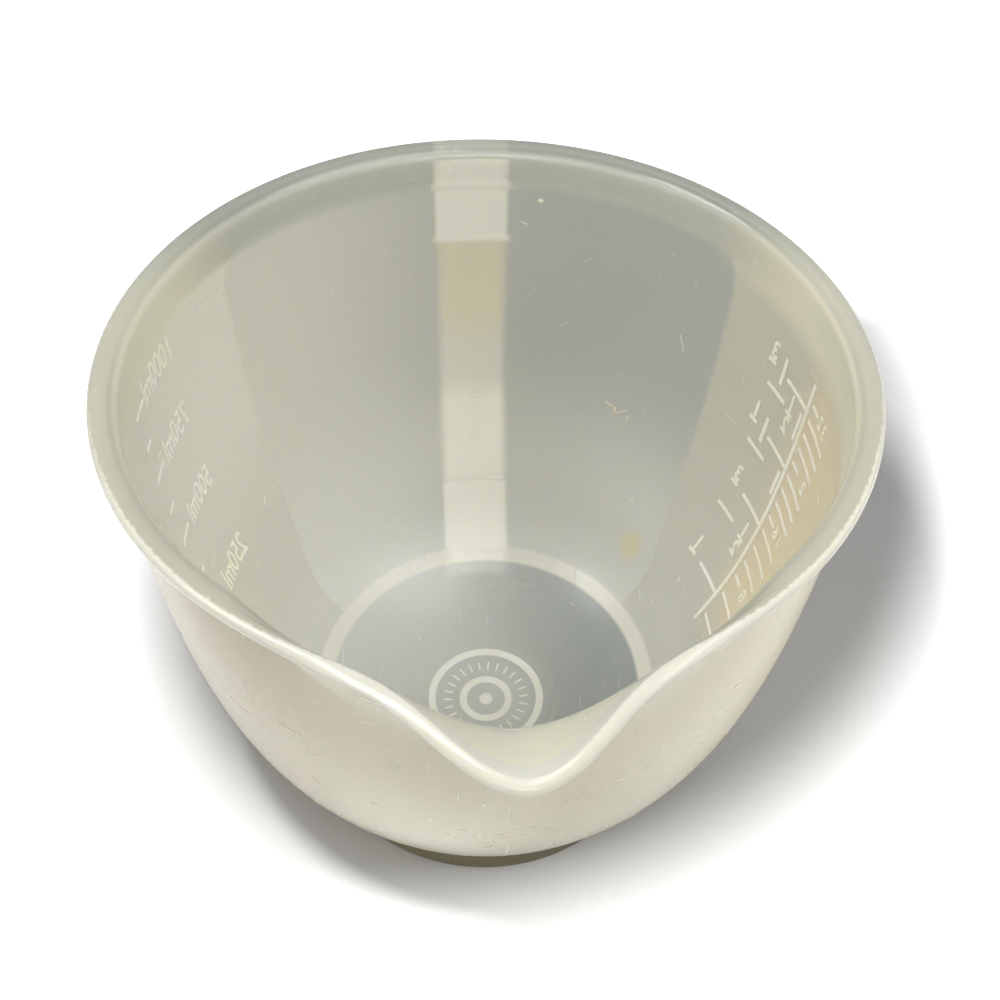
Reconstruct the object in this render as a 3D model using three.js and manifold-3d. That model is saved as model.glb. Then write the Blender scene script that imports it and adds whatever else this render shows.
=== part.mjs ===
// Measuring jug in translucent plastic: a round bowl whose flat brim runs out into a pouring
// spout, an I-section handle with ribbed pockets, and a flared foot ring.
// Millimetres, +Z up, standing on z = 0. The spout points to -Y and the handle to +Y.
import * as THREE from 'three';
import { mergeVertices } from 'three/addons/utils/BufferGeometryUtils.js';
import Module from 'manifold-3d';

// Bowl: height, brim and wall
const jugHeight = 122;
const rimRadius = 72;
const brimWidth = 5.1;
const brimUndersideRound = 0.7;
const wallThickness = 1.9;
const upperDraft = 0.3;
const upperReach = 64;
const lowerSlope = 64.5;
const lowerReach = 13.5;

// Bowl: dished floor and the round corner that leads into the wall
const floorClearance = 4.4;
const floorThickness = 2;
const dishRadius = 83;
const discRadius = 40;
const cornerReach = 8.5;

// Lip and pouring spout
const lipThickness = 2.4;
const lipRound = 0.9;
const beadWidth = 1.2;
const spoutReach = 16.2;
const spoutSpread = 7.5;
const spoutShoulder = 1.8;
const spoutDepth = 36;
const spoutCurl = 3.4;
const brimFadeStart = 42;
const brimFadeEnd = 16;

// Foot ring, wider at the table than under the bowl
const footRadius = 42.4;
const footLean = 1.8;
const footWidth = 2.6;
const footRootWidth = 3.6;
const footChamfer = 0.6;

// Handle: a strap with flanges, a web and ribs, bent into a loop
const handleWidth = 17;
const handleReach = 35.5;
const handleTopDrop = 9.5;
const handleRootDepth = 14.5;
const handleShoulder = 18;
const gripDepth = 12.5;
const gripTopDrop = 40;
const lowerRootHeight = 17;
const fingerBottomHeight = 31;
const fingerRound = 15;
const flangeThickness = 2.3;
const webThickness = 2.6;
const ribThickness = 1.8;
const ribCount = 5;
const handleEdgeRound = 0.9;
const seatClearance = 0.3;

// Fineness of the facets
const spoutColumns = 36;
const roundColumns = 44;
const spoutZone = 50;
const spoutGrading = 0.5;
const floorRows = 5;
const cornerRows = 4;
const wallRows = 6;
const upperWallRows = 4;
const bendRows = 4;
const lipRows = 3;
const backSteps = 20;
const fingerSteps = 16;

const wasm = await Module();
wasm.setup();

const radians = (degrees) => (degrees * Math.PI) / 180;
const innerTopRadius = rimRadius - brimWidth;
const brimBend = wallThickness + brimUndersideRound;
const floorHeight = floorClearance + floorThickness;

// Half sections are drawn as distance from the axis and height.
const dishCentreHeight = floorHeight + dishRadius;
const discSlope = Math.asin(discRadius / dishRadius);
const discEdge = new THREE.Vector2(
  discRadius,
  dishCentreHeight - dishRadius * Math.cos(discSlope),
);
const cornerPoint = step(discEdge, discSlope, cornerReach);
const wallFoot = step(cornerPoint, radians(lowerSlope), cornerReach);
const wallTop = new THREE.Vector2(innerTopRadius, jugHeight);
const cornerCurve = new THREE.QuadraticBezierCurve(discEdge, cornerPoint, wallFoot);
const wallCurve = new THREE.CubicBezierCurve(
  wallFoot,
  step(wallFoot, radians(lowerSlope), lowerReach),
  step(wallTop, radians(90 - upperDraft), -upperReach),
  wallTop,
);
const wallLine = wallCurve.getPoints(200);

function step(point, angle, distance) {
  return new THREE.Vector2(
    point.x + distance * Math.cos(angle),
    point.y + distance * Math.sin(angle),
  );
}

function innerRadiusAt(height) {
  const above = wallLine.findIndex((point) => point.y >= height);
  if (above < 1) {
    return above < 0 ? innerTopRadius : wallFoot.x;
  }
  const low = wallLine[above - 1];
  const high = wallLine[above];
  return low.x + ((high.x - low.x) * (height - low.y)) / (high.y - low.y);
}

// Azimuths are counted from the spout, closer together where the lip bends most.
function azimuths() {
  const list = [];
  for (let k = 0; k < spoutColumns; k++) {
    const v = (2 * k) / spoutColumns - 1;
    list.push(spoutZone * ((1 - spoutGrading) * v + spoutGrading * v ** 3));
  }
  for (let k = 0; k < roundColumns; k++) {
    list.push(spoutZone + ((360 - 2 * spoutZone) * k) / roundColumns);
  }
  return list.map(radians);
}

function place(point, azimuth) {
  return new THREE.Vector3(
    point.x * Math.sin(azimuth),
    -point.x * Math.cos(azimuth),
    point.y,
  );
}

function fromSpout(azimuth) {
  return Math.abs(Math.atan2(Math.sin(azimuth), Math.cos(azimuth)));
}

function lipRadiusAt(azimuth) {
  const spread = fromSpout(azimuth) / radians(spoutSpread);
  return rimRadius + spoutReach * Math.exp(-(spread ** spoutShoulder) / 2);
}

// 0 where the brim is flat, 1 where the wall flares straight to the lip.
function spoutShare(azimuth) {
  const inward = radians(brimFadeStart) - fromSpout(azimuth);
  return THREE.MathUtils.smoothstep(inward, 0, radians(brimFadeStart - brimFadeEnd));
}

// Upper wall, bend and flat brim as one run of points out to the lip.
function brimPoint(k, edge) {
  const wallEnd = jugHeight - brimBend;
  const wallStart = jugHeight - spoutDepth;
  if (k <= upperWallRows) {
    const height = wallStart + ((wallEnd - wallStart) * k) / upperWallRows;
    return new THREE.Vector2(innerRadiusAt(height), height);
  }
  if (k <= upperWallRows + bendRows) {
    const turn = (((k - upperWallRows) / bendRows) * Math.PI) / 2;
    const bendCentre = innerRadiusAt(wallEnd) + brimBend;
    return new THREE.Vector2(
      bendCentre - brimBend * Math.cos(turn),
      wallEnd + brimBend * Math.sin(turn),
    );
  }
  const isLast = k === upperWallRows + bendRows + 2;
  return new THREE.Vector2(edge - (isLast ? 0 : beadWidth), jugHeight);
}

// The same run of points down the middle of the spout, where the wall flares to the lip.
function troughPoint(k, count, edge) {
  const depth = spoutDepth * (1 - k / count) ** 1.6;
  const flare = (edge - innerTopRadius) * (1 - depth / spoutDepth) ** spoutCurl;
  return new THREE.Vector2(innerRadiusAt(jugHeight - depth) + flare, jugHeight - depth);
}

function topSection(azimuth) {
  const count = upperWallRows + bendRows + 2;
  const edge = lipRadiusAt(azimuth) - lipRound;
  const share = spoutShare(azimuth);
  const points = [];
  for (let k = 1; k <= count; k++) {
    points.push(brimPoint(k, edge).lerp(troughPoint(k, count, edge), share));
  }
  return points;
}

// Inner face from the middle of the floor to the lip, as rows of points round the bowl.
function innerRows(turns) {
  const section = [];
  const dishCentre = new THREE.Vector2(0, dishCentreHeight);
  for (let k = 1; k <= floorRows; k++) {
    section.push(step(dishCentre, (discSlope * k) / floorRows - Math.PI / 2, dishRadius));
  }
  for (let k = 1; k <= cornerRows; k++) {
    section.push(cornerCurve.getPoint(k / cornerRows));
  }
  const spoutBottom = jugHeight - spoutDepth;
  for (let k = 1; k <= wallRows; k++) {
    const height = wallFoot.y + ((spoutBottom - wallFoot.y) * k) / wallRows;
    section.push(new THREE.Vector2(innerRadiusAt(height), height));
  }
  const tops = turns.map(topSection);
  return [
    ...section.map((point) => turns.map((azimuth) => place(point, azimuth))),
    ...tops[0].map((_, k) => turns.map((azimuth, j) => place(tops[j][k], azimuth))),
  ];
}

// Direction out of the plastic on the bowl's inner face at one point of the grid.
function innerNormal(rows, i, j) {
  const count = rows[i].length;
  const next = rows[Math.min(i + 1, rows.length - 1)][j];
  const previous = rows[Math.max(i - 1, 0)][j];
  const along = new THREE.Vector3().subVectors(next, previous);
  const across = new THREE.Vector3().subVectors(
    rows[i][(j + 1) % count],
    rows[i][(j + count - 1) % count],
  );
  return along.cross(across).normalize();
}

// Half-round edge that joins the top of the lip to its underside.
function lipEdge(turns, topRow, underRow) {
  const rows = [];
  for (let k = 1; k <= lipRows; k++) {
    const turn = (k / (lipRows + 1)) * Math.PI;
    rows.push(
      turns.map((azimuth, j) => {
        const middle = topRow[j].clone().lerp(underRow[j], 0.5);
        const half = new THREE.Vector3().subVectors(topRow[j], middle);
        const outward = place(new THREE.Vector2(lipRound, 0), azimuth);
        return middle
          .addScaledVector(half, Math.cos(turn))
          .addScaledVector(outward, Math.sin(turn));
      }),
    );
  }
  return rows;
}

function bowlGeometry() {
  const turns = azimuths();
  const inner = innerRows(turns);
  const lipStart = inner.length - 2;
  const outer = inner.map((row, i) => {
    const wall = i < floorRows ? floorThickness : wallThickness;
    const thickness = i < lipStart ? wall : lipThickness;
    return row.map((point, j) =>
      point.clone().addScaledVector(innerNormal(inner, i, j), -thickness),
    );
  });
  const last = inner.length - 1;
  return gridSolid([
    [new THREE.Vector3(0, 0, floorHeight)],
    ...inner,
    ...lipEdge(turns, inner[last], outer[last]),
    ...outer.reverse(),
    [new THREE.Vector3(0, 0, floorClearance)],
  ]);
}

// Joins rows of points into a closed surface. A row of one point is a pole.
function gridSolid(rows) {
  const positions = [];
  const starts = rows.map((row) => {
    const start = positions.length / 3;
    row.forEach((point) => positions.push(point.x, point.y, point.z));
    return start;
  });
  const index = [];
  for (let i = 0; i < rows.length - 1; i++) {
    const near = rows[i].length;
    const far = rows[i + 1].length;
    for (let j = 0; j < Math.max(near, far); j++) {
      const a = starts[i] + (j % near);
      const b = starts[i + 1] + (j % far);
      const c = starts[i + 1] + ((j + 1) % far);
      const d = starts[i] + ((j + 1) % near);
      if (far > 1) {
        index.push(a, b, c);
      }
      if (near > 1) {
        index.push(a, c, d);
      }
    }
  }
  const geometry = new THREE.BufferGeometry();
  geometry.setAttribute('position', new THREE.Float32BufferAttribute(positions, 3));
  geometry.setIndex(index);
  return geometry;
}

// The foot ring's top follows the underside of the dished floor.
function footGeometry() {
  const seatRadius = dishRadius + floorThickness + seatClearance;
  const seatHeight = (radius) => dishCentreHeight - Math.sqrt(seatRadius ** 2 - radius ** 2);
  const rootOuter = footRadius - footLean;
  const rootInner = rootOuter - footRootWidth;
  const rootMiddle = (rootOuter + rootInner) / 2;
  const bore = footRadius - footWidth;
  const profile = [
    new THREE.Vector2(rootInner, seatHeight(rootInner)),
    new THREE.Vector2(bore, footChamfer),
    new THREE.Vector2(bore + footChamfer, 0),
    new THREE.Vector2(footRadius - footChamfer, 0),
    new THREE.Vector2(footRadius, footChamfer),
    new THREE.Vector2(rootOuter, seatHeight(rootOuter)),
    new THREE.Vector2(rootMiddle, seatHeight(rootMiddle)),
    new THREE.Vector2(rootInner, seatHeight(rootInner)),
  ];
  const geometry = new THREE.LatheGeometry(profile, spoutColumns + roundColumns);
  return geometry.rotateX(Math.PI / 2);
}

function toManifold(geometry) {
  const bare = geometry.clone();
  bare.deleteAttribute('normal');
  bare.deleteAttribute('uv');
  const merged = mergeVertices(bare, 1e-4);
  const mesh = new wasm.Mesh({
    numProp: 3,
    vertProperties: new Float32Array(merged.attributes.position.array),
    triVerts: new Uint32Array(merged.index.array),
  });
  return new wasm.Manifold(mesh);
}

function fromManifold(solid) {
  const mesh = solid.getMesh();
  const geometry = new THREE.BufferGeometry();
  geometry.setAttribute('position', new THREE.BufferAttribute(mesh.vertProperties, 3));
  geometry.setIndex(new THREE.BufferAttribute(mesh.triVerts, 1));
  return geometry;
}

// Solid of revolution that holds the bowl's outside with a margin, for trimming the handle.
function bowlEnvelope(margin) {
  const reach = wallThickness + margin;
  const brimUnderside = jugHeight - lipThickness - margin;
  const section = [
    ...offsetSection(cornerCurve, cornerRows, reach),
    ...offsetSection(wallCurve, backSteps, reach).slice(1),
  ];
  const profile = [
    new THREE.Vector2(0, 0),
    new THREE.Vector2(footRadius - footLean, 0),
    ...section.filter((point) => point.y < brimUnderside),
    new THREE.Vector2(innerTopRadius + reach, brimUnderside),
    new THREE.Vector2(2 * rimRadius, brimUnderside),
    new THREE.Vector2(2 * rimRadius, 2 * jugHeight),
    new THREE.Vector2(0, 2 * jugHeight),
  ];
  const geometry = new THREE.LatheGeometry(profile, 2 * (spoutColumns + roundColumns));
  return toManifold(geometry.rotateX(Math.PI / 2));
}

function offsetSection(curve, steps, reach) {
  return Array.from({ length: steps + 1 }, (_, k) => {
    const point = curve.getPoint(k / steps);
    const tangent = curve.getTangent(k / steps);
    return new THREE.Vector2(point.x + tangent.y * reach, point.y - tangent.x * reach);
  });
}

// The handle's side view. Both edges start and end inside the bowl and are trimmed there.
const gripOuter = innerTopRadius + wallThickness + handleReach;
const gripInner = gripOuter - gripDepth;
const handleTop = jugHeight - handleTopDrop;
const gripTop = jugHeight - gripTopDrop;
const fingerTop = handleTop - handleRootDepth;
const fingerMiddle = (fingerTop + fingerBottomHeight) / 2;
const lowerRootRadius = innerRadiusAt(fingerBottomHeight);

const handleBack = new THREE.CurvePath();
handleBack.add(
  new THREE.CubicBezierCurve(
    new THREE.Vector2(innerTopRadius, handleTop),
    new THREE.Vector2(gripOuter - handleShoulder, handleTop - handleShoulder / 6),
    new THREE.Vector2(gripOuter, handleTop - handleShoulder / 2),
    new THREE.Vector2(gripOuter, gripTop),
  ),
);
handleBack.add(
  new THREE.CubicBezierCurve(
    new THREE.Vector2(gripOuter, gripTop),
    new THREE.Vector2(gripOuter, (gripTop + lowerRootHeight) / 2),
    new THREE.Vector2(gripOuter - handleShoulder, lowerRootHeight + handleShoulder / 2),
    new THREE.Vector2(discRadius, lowerRootHeight),
  ),
);
const fingerSide = new THREE.CurvePath();
fingerSide.add(
  new THREE.CubicBezierCurve(
    new THREE.Vector2(lowerRootRadius, fingerBottomHeight),
    new THREE.Vector2(gripInner - fingerRound, fingerBottomHeight + fingerRound / 2),
    new THREE.Vector2(gripInner, fingerBottomHeight + fingerRound),
    new THREE.Vector2(gripInner, fingerMiddle),
  ),
);
fingerSide.add(
  new THREE.CubicBezierCurve(
    new THREE.Vector2(gripInner, fingerMiddle),
    new THREE.Vector2(gripInner, fingerTop - fingerRound / 2),
    new THREE.Vector2(gripInner - fingerRound / 2, fingerTop),
    new THREE.Vector2(innerTopRadius, fingerTop),
  ),
);

function inset(points, distance) {
  return points.map((point, k) => {
    const before = points[Math.max(k - 1, 0)];
    const after = points[Math.min(k + 1, points.length - 1)];
    const along = new THREE.Vector2().subVectors(after, before).normalize();
    return new THREE.Vector2(point.x + along.y * distance, point.y - along.x * distance);
  });
}

// A side view drawn by points becomes a plate across the jug's plane of symmetry.
function plateAcross(points, from, to, bevel) {
  const geometry = new THREE.ExtrudeGeometry(new THREE.Shape(points), {
    depth: to - from - 2 * bevel,
    bevelEnabled: bevel > 0,
    bevelThickness: bevel,
    bevelSize: bevel,
    bevelOffset: -bevel,
    bevelSegments: 2,
    curveSegments: 1,
  });
  geometry.translate(0, 0, from + bevel);
  const turn = new THREE.Matrix4().makeBasis(
    new THREE.Vector3(0, 1, 0),
    new THREE.Vector3(0, 0, 1),
    new THREE.Vector3(1, 0, 0),
  );
  return toManifold(geometry.applyMatrix4(turn));
}

// Each rib crosses the strap from its back to its finger side.
function ribOutline(k) {
  const share = k / (ribCount + 1);
  const outside = handleBack.getPointAt(share);
  const inside = fingerSide.getPointAt(1 - share);
  const along = new THREE.Vector2().subVectors(inside, outside).normalize();
  const side = new THREE.Vector2(-along.y, along.x).multiplyScalar(ribThickness / 2);
  return [
    outside.clone().add(side),
    outside.clone().sub(side),
    inside.clone().sub(side),
    inside.clone().add(side),
  ];
}

function handleGeometry() {
  const back = handleBack.getSpacedPoints(backSteps);
  const front = fingerSide.getSpacedPoints(fingerSteps);
  const half = handleWidth / 2;
  const pocketLine = [...inset(back, flangeThickness), ...inset(front, flangeThickness)];
  let pockets = plateAcross(pocketLine, webThickness / 2, handleWidth, 0);
  pockets = pockets.add(plateAcross(pocketLine, -handleWidth, -webThickness / 2, 0));
  pockets = pockets.subtract(bowlEnvelope(seatClearance + flangeThickness));
  for (let k = 1; k <= ribCount; k++) {
    pockets = pockets.subtract(plateAcross(ribOutline(k), -handleWidth, handleWidth, 0));
  }
  const strap = plateAcross([...back, ...front], -half, half, handleEdgeRound);
  return fromManifold(strap.subtract(bowlEnvelope(seatClearance)).subtract(pockets));
}

const plastic = new THREE.MeshStandardMaterial({
  color: 0xd8d4c0,
  roughness: 0.38,
  metalness: 0,
});

function piece(name, geometry) {
  const mesh = new THREE.Mesh(geometry, plastic.clone());
  mesh.name = name;
  return mesh;
}

const jug = new THREE.Group();
jug.add(piece('bowl', bowlGeometry()));
jug.add(piece('handle', handleGeometry()));
jug.add(piece('foot_ring', footGeometry()));

// The origin stands on the table, midway between the spout's tip and the handle's back.
const span = new THREE.Box3().setFromObject(jug);
jug.position.y = -(span.min.y + span.max.y) / 2;

export default jug;
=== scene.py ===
"""Looks of a milky plastic measuring jug with a spout, a ribbed handle and a foot ring.

Lengths are millimetres round the jug's own axis until a mesh is made. Azimuths of marks are
degrees from the handle (+Y) towards +X. Colours are written as display values from 0 to 1.
"""

import logging
import math
from collections.abc import Iterator
from contextlib import contextmanager
from dataclasses import dataclass, field
from enum import Enum

import bmesh
import bpy
import numpy as np
from mathutils import Matrix, Vector


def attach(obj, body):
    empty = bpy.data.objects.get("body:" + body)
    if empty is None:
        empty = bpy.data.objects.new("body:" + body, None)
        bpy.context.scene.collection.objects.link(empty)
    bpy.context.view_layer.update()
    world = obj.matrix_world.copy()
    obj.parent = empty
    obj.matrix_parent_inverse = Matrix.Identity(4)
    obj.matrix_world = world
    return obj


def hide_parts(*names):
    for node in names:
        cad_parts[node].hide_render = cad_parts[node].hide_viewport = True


log = logging.getLogger("jug")

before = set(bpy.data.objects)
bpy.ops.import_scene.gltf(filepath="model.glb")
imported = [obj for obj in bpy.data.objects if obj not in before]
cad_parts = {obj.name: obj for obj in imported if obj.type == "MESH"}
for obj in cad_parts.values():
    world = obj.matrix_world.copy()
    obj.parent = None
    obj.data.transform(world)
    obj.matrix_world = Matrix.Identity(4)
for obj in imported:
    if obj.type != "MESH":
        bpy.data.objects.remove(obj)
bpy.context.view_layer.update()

Triple = tuple[float, float, float]
Colour = Triple
Quad = tuple[float, float, float, float]
Line = list[tuple[float, float]]
Face = tuple[int, ...]
Rows = np.ndarray
Tree = bpy.types.NodeTree
Thing = bpy.types.Object
Finish = bpy.types.Material
Socket = bpy.types.NodeSocket

MM = 0.001
# How far from the lip its tones are told apart
LIP_REACH = 60.0
# Distance within which points of a figure are one
WELD = 0.001
# Width of a scale's small lines, as a share of the others'
THIN = 0.8
WHITE: Colour = (1.0, 1.0, 1.0)
CORNER_ARC = np.linspace(0, math.pi / 2, 5)


@dataclass(frozen=True)
class JugSizes:
    """Lengths in millimetres that the looks share with the part's source."""

    jug_height: float = 122.0
    rim_radius: float = 72.0
    inner_top_radius: float = 66.9
    wall_thickness: float = 1.9
    floor_thickness: float = 2.0
    lip_thickness: float = 2.4
    lip_round: float = 0.9
    brim_bend: float = 2.6
    bead_width: float = 1.2
    dish_radius: float = 83.0
    dish_centre: float = 89.4
    disc_radius: float = 40.0
    corner_radius: float = 47.49
    corner_height: float = 20.9
    wall_foot_radius: float = 51.15
    wall_foot_height: float = 28.6
    lower_slope: float = 64.5
    lower_reach: float = 13.5
    upper_draft: float = 0.3
    upper_reach: float = 64.0
    spout_reach: float = 16.2
    spout_spread: float = 7.5
    spout_shoulder: float = 1.8
    spout_depth: float = 36.0
    spout_curl: float = 3.4
    brim_fade_start: float = 42.0
    brim_fade_end: float = 16.0
    foot_radius: float = 42.4
    foot_root_radius: float = 40.6
    foot_width: float = 2.6
    foot_root_width: float = 3.6
    axis_offset: float = -7.699


SIZES = JugSizes()


def bezier(points: Line, steps: int = 120) -> Rows:
    """Samples a flat Bezier curve of any degree at equal steps of its parameter."""
    t = np.linspace(0.0, 1.0, steps + 1)[:, None]
    layers = [np.array(point, dtype=float)[None, :] for point in points]
    while len(layers) > 1:
        layers = [(1 - t) * a + t * b for a, b in zip(layers, layers[1:])]
    return layers[0]


def smoothstep(value: Rows, low: float, high: float) -> Rows:
    """Rises smoothly from 0 at low to 1 at high."""
    t = np.clip((value - low) / (high - low), 0.0, 1.0)
    return t * t * (3 - 2 * t)


def at_lengths(line: Rows, shares: Rows) -> Rows:
    """Finds the points of a line at shares of its length."""
    steps = np.linalg.norm(np.diff(line, axis=0), axis=1)
    along = np.concatenate([[0.0], np.cumsum(steps)]) / steps.sum()
    return np.stack([np.interp(shares, along, line[:, k]) for k in range(2)], axis=1)


def turns_of(columns: int) -> Rows:
    """Gives equal turns round the axis in radians."""
    return np.arange(columns) / columns * 2 * math.pi


def handle_from(start: tuple[float, float], reach: float, slope: float) -> tuple[float, float]:
    """Places a Bezier handle at a reach from its end, along a slope in degrees."""
    turn = math.radians(slope)
    return (start[0] + reach * math.cos(turn), start[1] + reach * math.sin(turn))


class Wall:
    """Profile of the bowl's inner face, which everything on the bowl follows."""

    def __init__(self) -> None:
        """Draws the corner and the wall from the jug's sizes."""
        disc_edge = (SIZES.disc_radius, self.dish_height(SIZES.disc_radius))
        corner = (SIZES.corner_radius, SIZES.corner_height)
        foot = (SIZES.wall_foot_radius, SIZES.wall_foot_height)
        top = (SIZES.inner_top_radius, SIZES.jug_height)
        low = handle_from(foot, SIZES.lower_reach, SIZES.lower_slope)
        high = handle_from(top, -SIZES.upper_reach, 90 - SIZES.upper_draft)
        self.corner_line = bezier([disc_edge, corner, foot], 60)
        self.wall_line = bezier([foot, low, high, top], 300)

    def dish_height(self, radius: Rows) -> Rows:
        """Gives the height of the dished floor at a radius."""
        return SIZES.dish_centre - np.sqrt(SIZES.dish_radius**2 - radius**2)

    def radius_at(self, height: Rows) -> Rows:
        """Gives the inner radius of the wall at a height."""
        return np.interp(height, self.wall_line[:, 1], self.wall_line[:, 0])

    def on_wall(self, azimuth: Rows, height: Rows, depth: Rows) -> Rows:
        """Places points on the wall.

        Args:
            azimuth: Degrees from the handle towards +X.
            height: Millimetres above the table.
            depth: Millimetres into the wall from its inner face.

        Returns:
            Rows of x, y and z.
        """
        lean = self.radius_at(height + 0.5) - self.radius_at(height - 0.5)
        length = np.sqrt(1 + lean**2)
        radius = self.radius_at(height) + depth / length
        turn = np.radians(azimuth)
        lowered = height - depth * lean / length
        return np.stack([radius * np.sin(turn), radius * np.cos(turn), lowered], axis=1)


def added(name: str, data: bpy.types.ID) -> Thing:
    """Makes an object from its data and links it to the scene."""
    thing = bpy.data.objects.new(name, data)
    bpy.context.scene.collection.objects.link(thing)
    return thing


def in_frame(points: Rows) -> Rows:
    """Takes points from millimetres round the jug's axis to metres in the row frame."""
    return (points + np.array([0.0, SIZES.axis_offset, 0.0])) * MM


@contextmanager
def opened(mesh: bpy.types.Mesh) -> Iterator[bmesh.types.BMesh]:
    """Opens a mesh for changes and writes it back."""
    work = bmesh.new()
    work.from_mesh(mesh)
    yield work
    work.to_mesh(mesh)
    work.free()


def turn_outwards(mesh: bpy.types.Mesh) -> None:
    """Turns the faces of a mesh outwards."""
    with opened(mesh) as work:
        bmesh.ops.recalc_face_normals(work, faces=work.faces)


def make_piece(name: str, points: Rows, faces: list[Face]) -> Thing:
    """Makes a mesh in the row frame from points in millimetres round the jug's axis."""
    mesh = bpy.data.meshes.new(name)
    mesh.from_pydata(in_frame(points).tolist(), [], faces)
    turn_outwards(mesh)
    return added(name, mesh)


def baked(piece: Thing, name: str) -> Thing:
    """Turns a piece with modifiers into a plain one with a name and removes the first."""
    graph = bpy.context.evaluated_depsgraph_get()
    mesh = bpy.data.meshes.new_from_object(piece.evaluated_get(graph))
    bpy.data.objects.remove(piece)
    mesh.name = name
    return added(name, mesh)


def grid_faces(rows: int, columns: int) -> list[Face]:
    """Joins neighbouring rows of points that go round a shape with four-cornered faces."""
    faces = []
    for low in range(0, (rows - 1) * columns, columns):
        high = low + columns
        for j in range(columns):
            after = (j + 1) % columns
            faces.append((low + j, high + j, high + after, low + after))
    return faces


def tube(name: str, rows: list[Rows]) -> Thing:
    """Makes a closed piece from outlines that follow each other, with a face at each end."""
    columns = len(rows[0])
    points = np.concatenate(rows)
    last = len(points) - 1
    ends = [tuple(range(columns)), tuple(range(last, last - columns, -1))]
    return make_piece(name, points, grid_faces(len(rows), columns) + ends)


def points_of(piece: Thing) -> Rows:
    """Reads a mesh's points as rows of x, y and z."""
    values = np.empty(len(piece.data.vertices) * 3)
    piece.data.vertices.foreach_get("co", values)
    return values.reshape(-1, 3)


def set_points(piece: Thing, points: Rows) -> None:
    """Writes rows of x, y and z back to a mesh."""
    piece.data.vertices.foreach_set("co", points.ravel())
    piece.data.update()


def settled(piece: Thing) -> Thing:
    """Takes a mesh to the row frame and turns its faces outwards."""
    set_points(piece, in_frame(points_of(piece)))
    turn_outwards(piece.data)
    return piece


def carry(piece: Thing, inner: Rows, lip_near: Rows) -> None:
    """Stores on the faces' corners what the finish reads, because a Boolean keeps it there.

    Args:
        piece: Object that gets the numbers.
        inner: 1 for points inside the bowl and 0 for others.
        lip_near: Millimetres that a point is nearer to the lip than its reach.
    """
    mesh = piece.data
    corners = np.empty(len(mesh.loops), dtype=np.int32)
    mesh.loops.foreach_get("vertex_index", corners)
    for name, numbers in (("inner", inner), ("lip_near", lip_near)):
        layer = mesh.attributes.new(name, "FLOAT", "CORNER")
        layer.data.foreach_set("value", numbers[corners])


def joined(name: str, pieces: list[Thing], finish: Finish) -> Thing:
    """Joins separate meshes into one object with one finish. They are used up."""
    whole = bmesh.new()
    for piece in pieces:
        whole.from_mesh(piece.data)
    mesh = bpy.data.meshes.new(name)
    whole.to_mesh(mesh)
    whole.free()
    mesh.materials.clear()
    mesh.materials.append(finish)
    for piece in pieces:
        bpy.data.objects.remove(piece)
    return added(name, mesh)


def combine(base: Thing, other: Thing, operation: str, crossing: bool = False) -> Thing:
    """Joins a closed mesh to another one, or cuts it out. Both are used up.

    Args:
        base: Object that gives the result its name.
        other: Object that is added or cut out.
        operation: UNION or DIFFERENCE.
        crossing: Whether parts of the other mesh cross each other.

    Returns:
        A new plain object.
    """
    name = base.name
    change = base.modifiers.new("combine", "BOOLEAN")
    change.operation = operation
    change.solver = "EXACT"
    change.material_mode = "TRANSFER"
    change.use_self = crossing
    change.object = other
    result = baked(base, f"{name}_done")
    bpy.data.objects.remove(other)
    result.name = name
    return result


def linear(colour: Colour) -> Quad:
    """Turns a display colour into the linear one that a shader wants."""
    parts = [c / 12.92 if c <= 0.04045 else ((c + 0.055) / 1.055) ** 2.4 for c in colour]
    return (*parts, 1.0)


def add_node(
    tree: Tree,
    kind: str,
    inputs: dict[str | int, object] | None = None,
    **settings: object,
) -> bpy.types.Node:
    """Adds a node to a tree.

    Args:
        tree: Tree of a material, of the world or of geometry.
        kind: Type of the node.
        inputs: Signals and sockets to link, and numbers and display colours to set.
        **settings: Properties of the node, which are set first.

    Returns:
        The new node.
    """
    node = tree.nodes.new(kind)
    for name, value in settings.items():
        setattr(node, name, value)
    for label, value in (inputs or {}).items():
        feed(tree, value, node.inputs[label])
    return node


def feed(tree: Tree, value: object, socket: Socket) -> None:
    """Links a value to a socket, or sets it there."""
    if isinstance(value, Signal):
        value = value.socket
    if isinstance(value, Socket):
        tree.links.new(value, socket)
    else:
        socket.default_value = linear(value) if socket.type == "RGBA" else value


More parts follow.
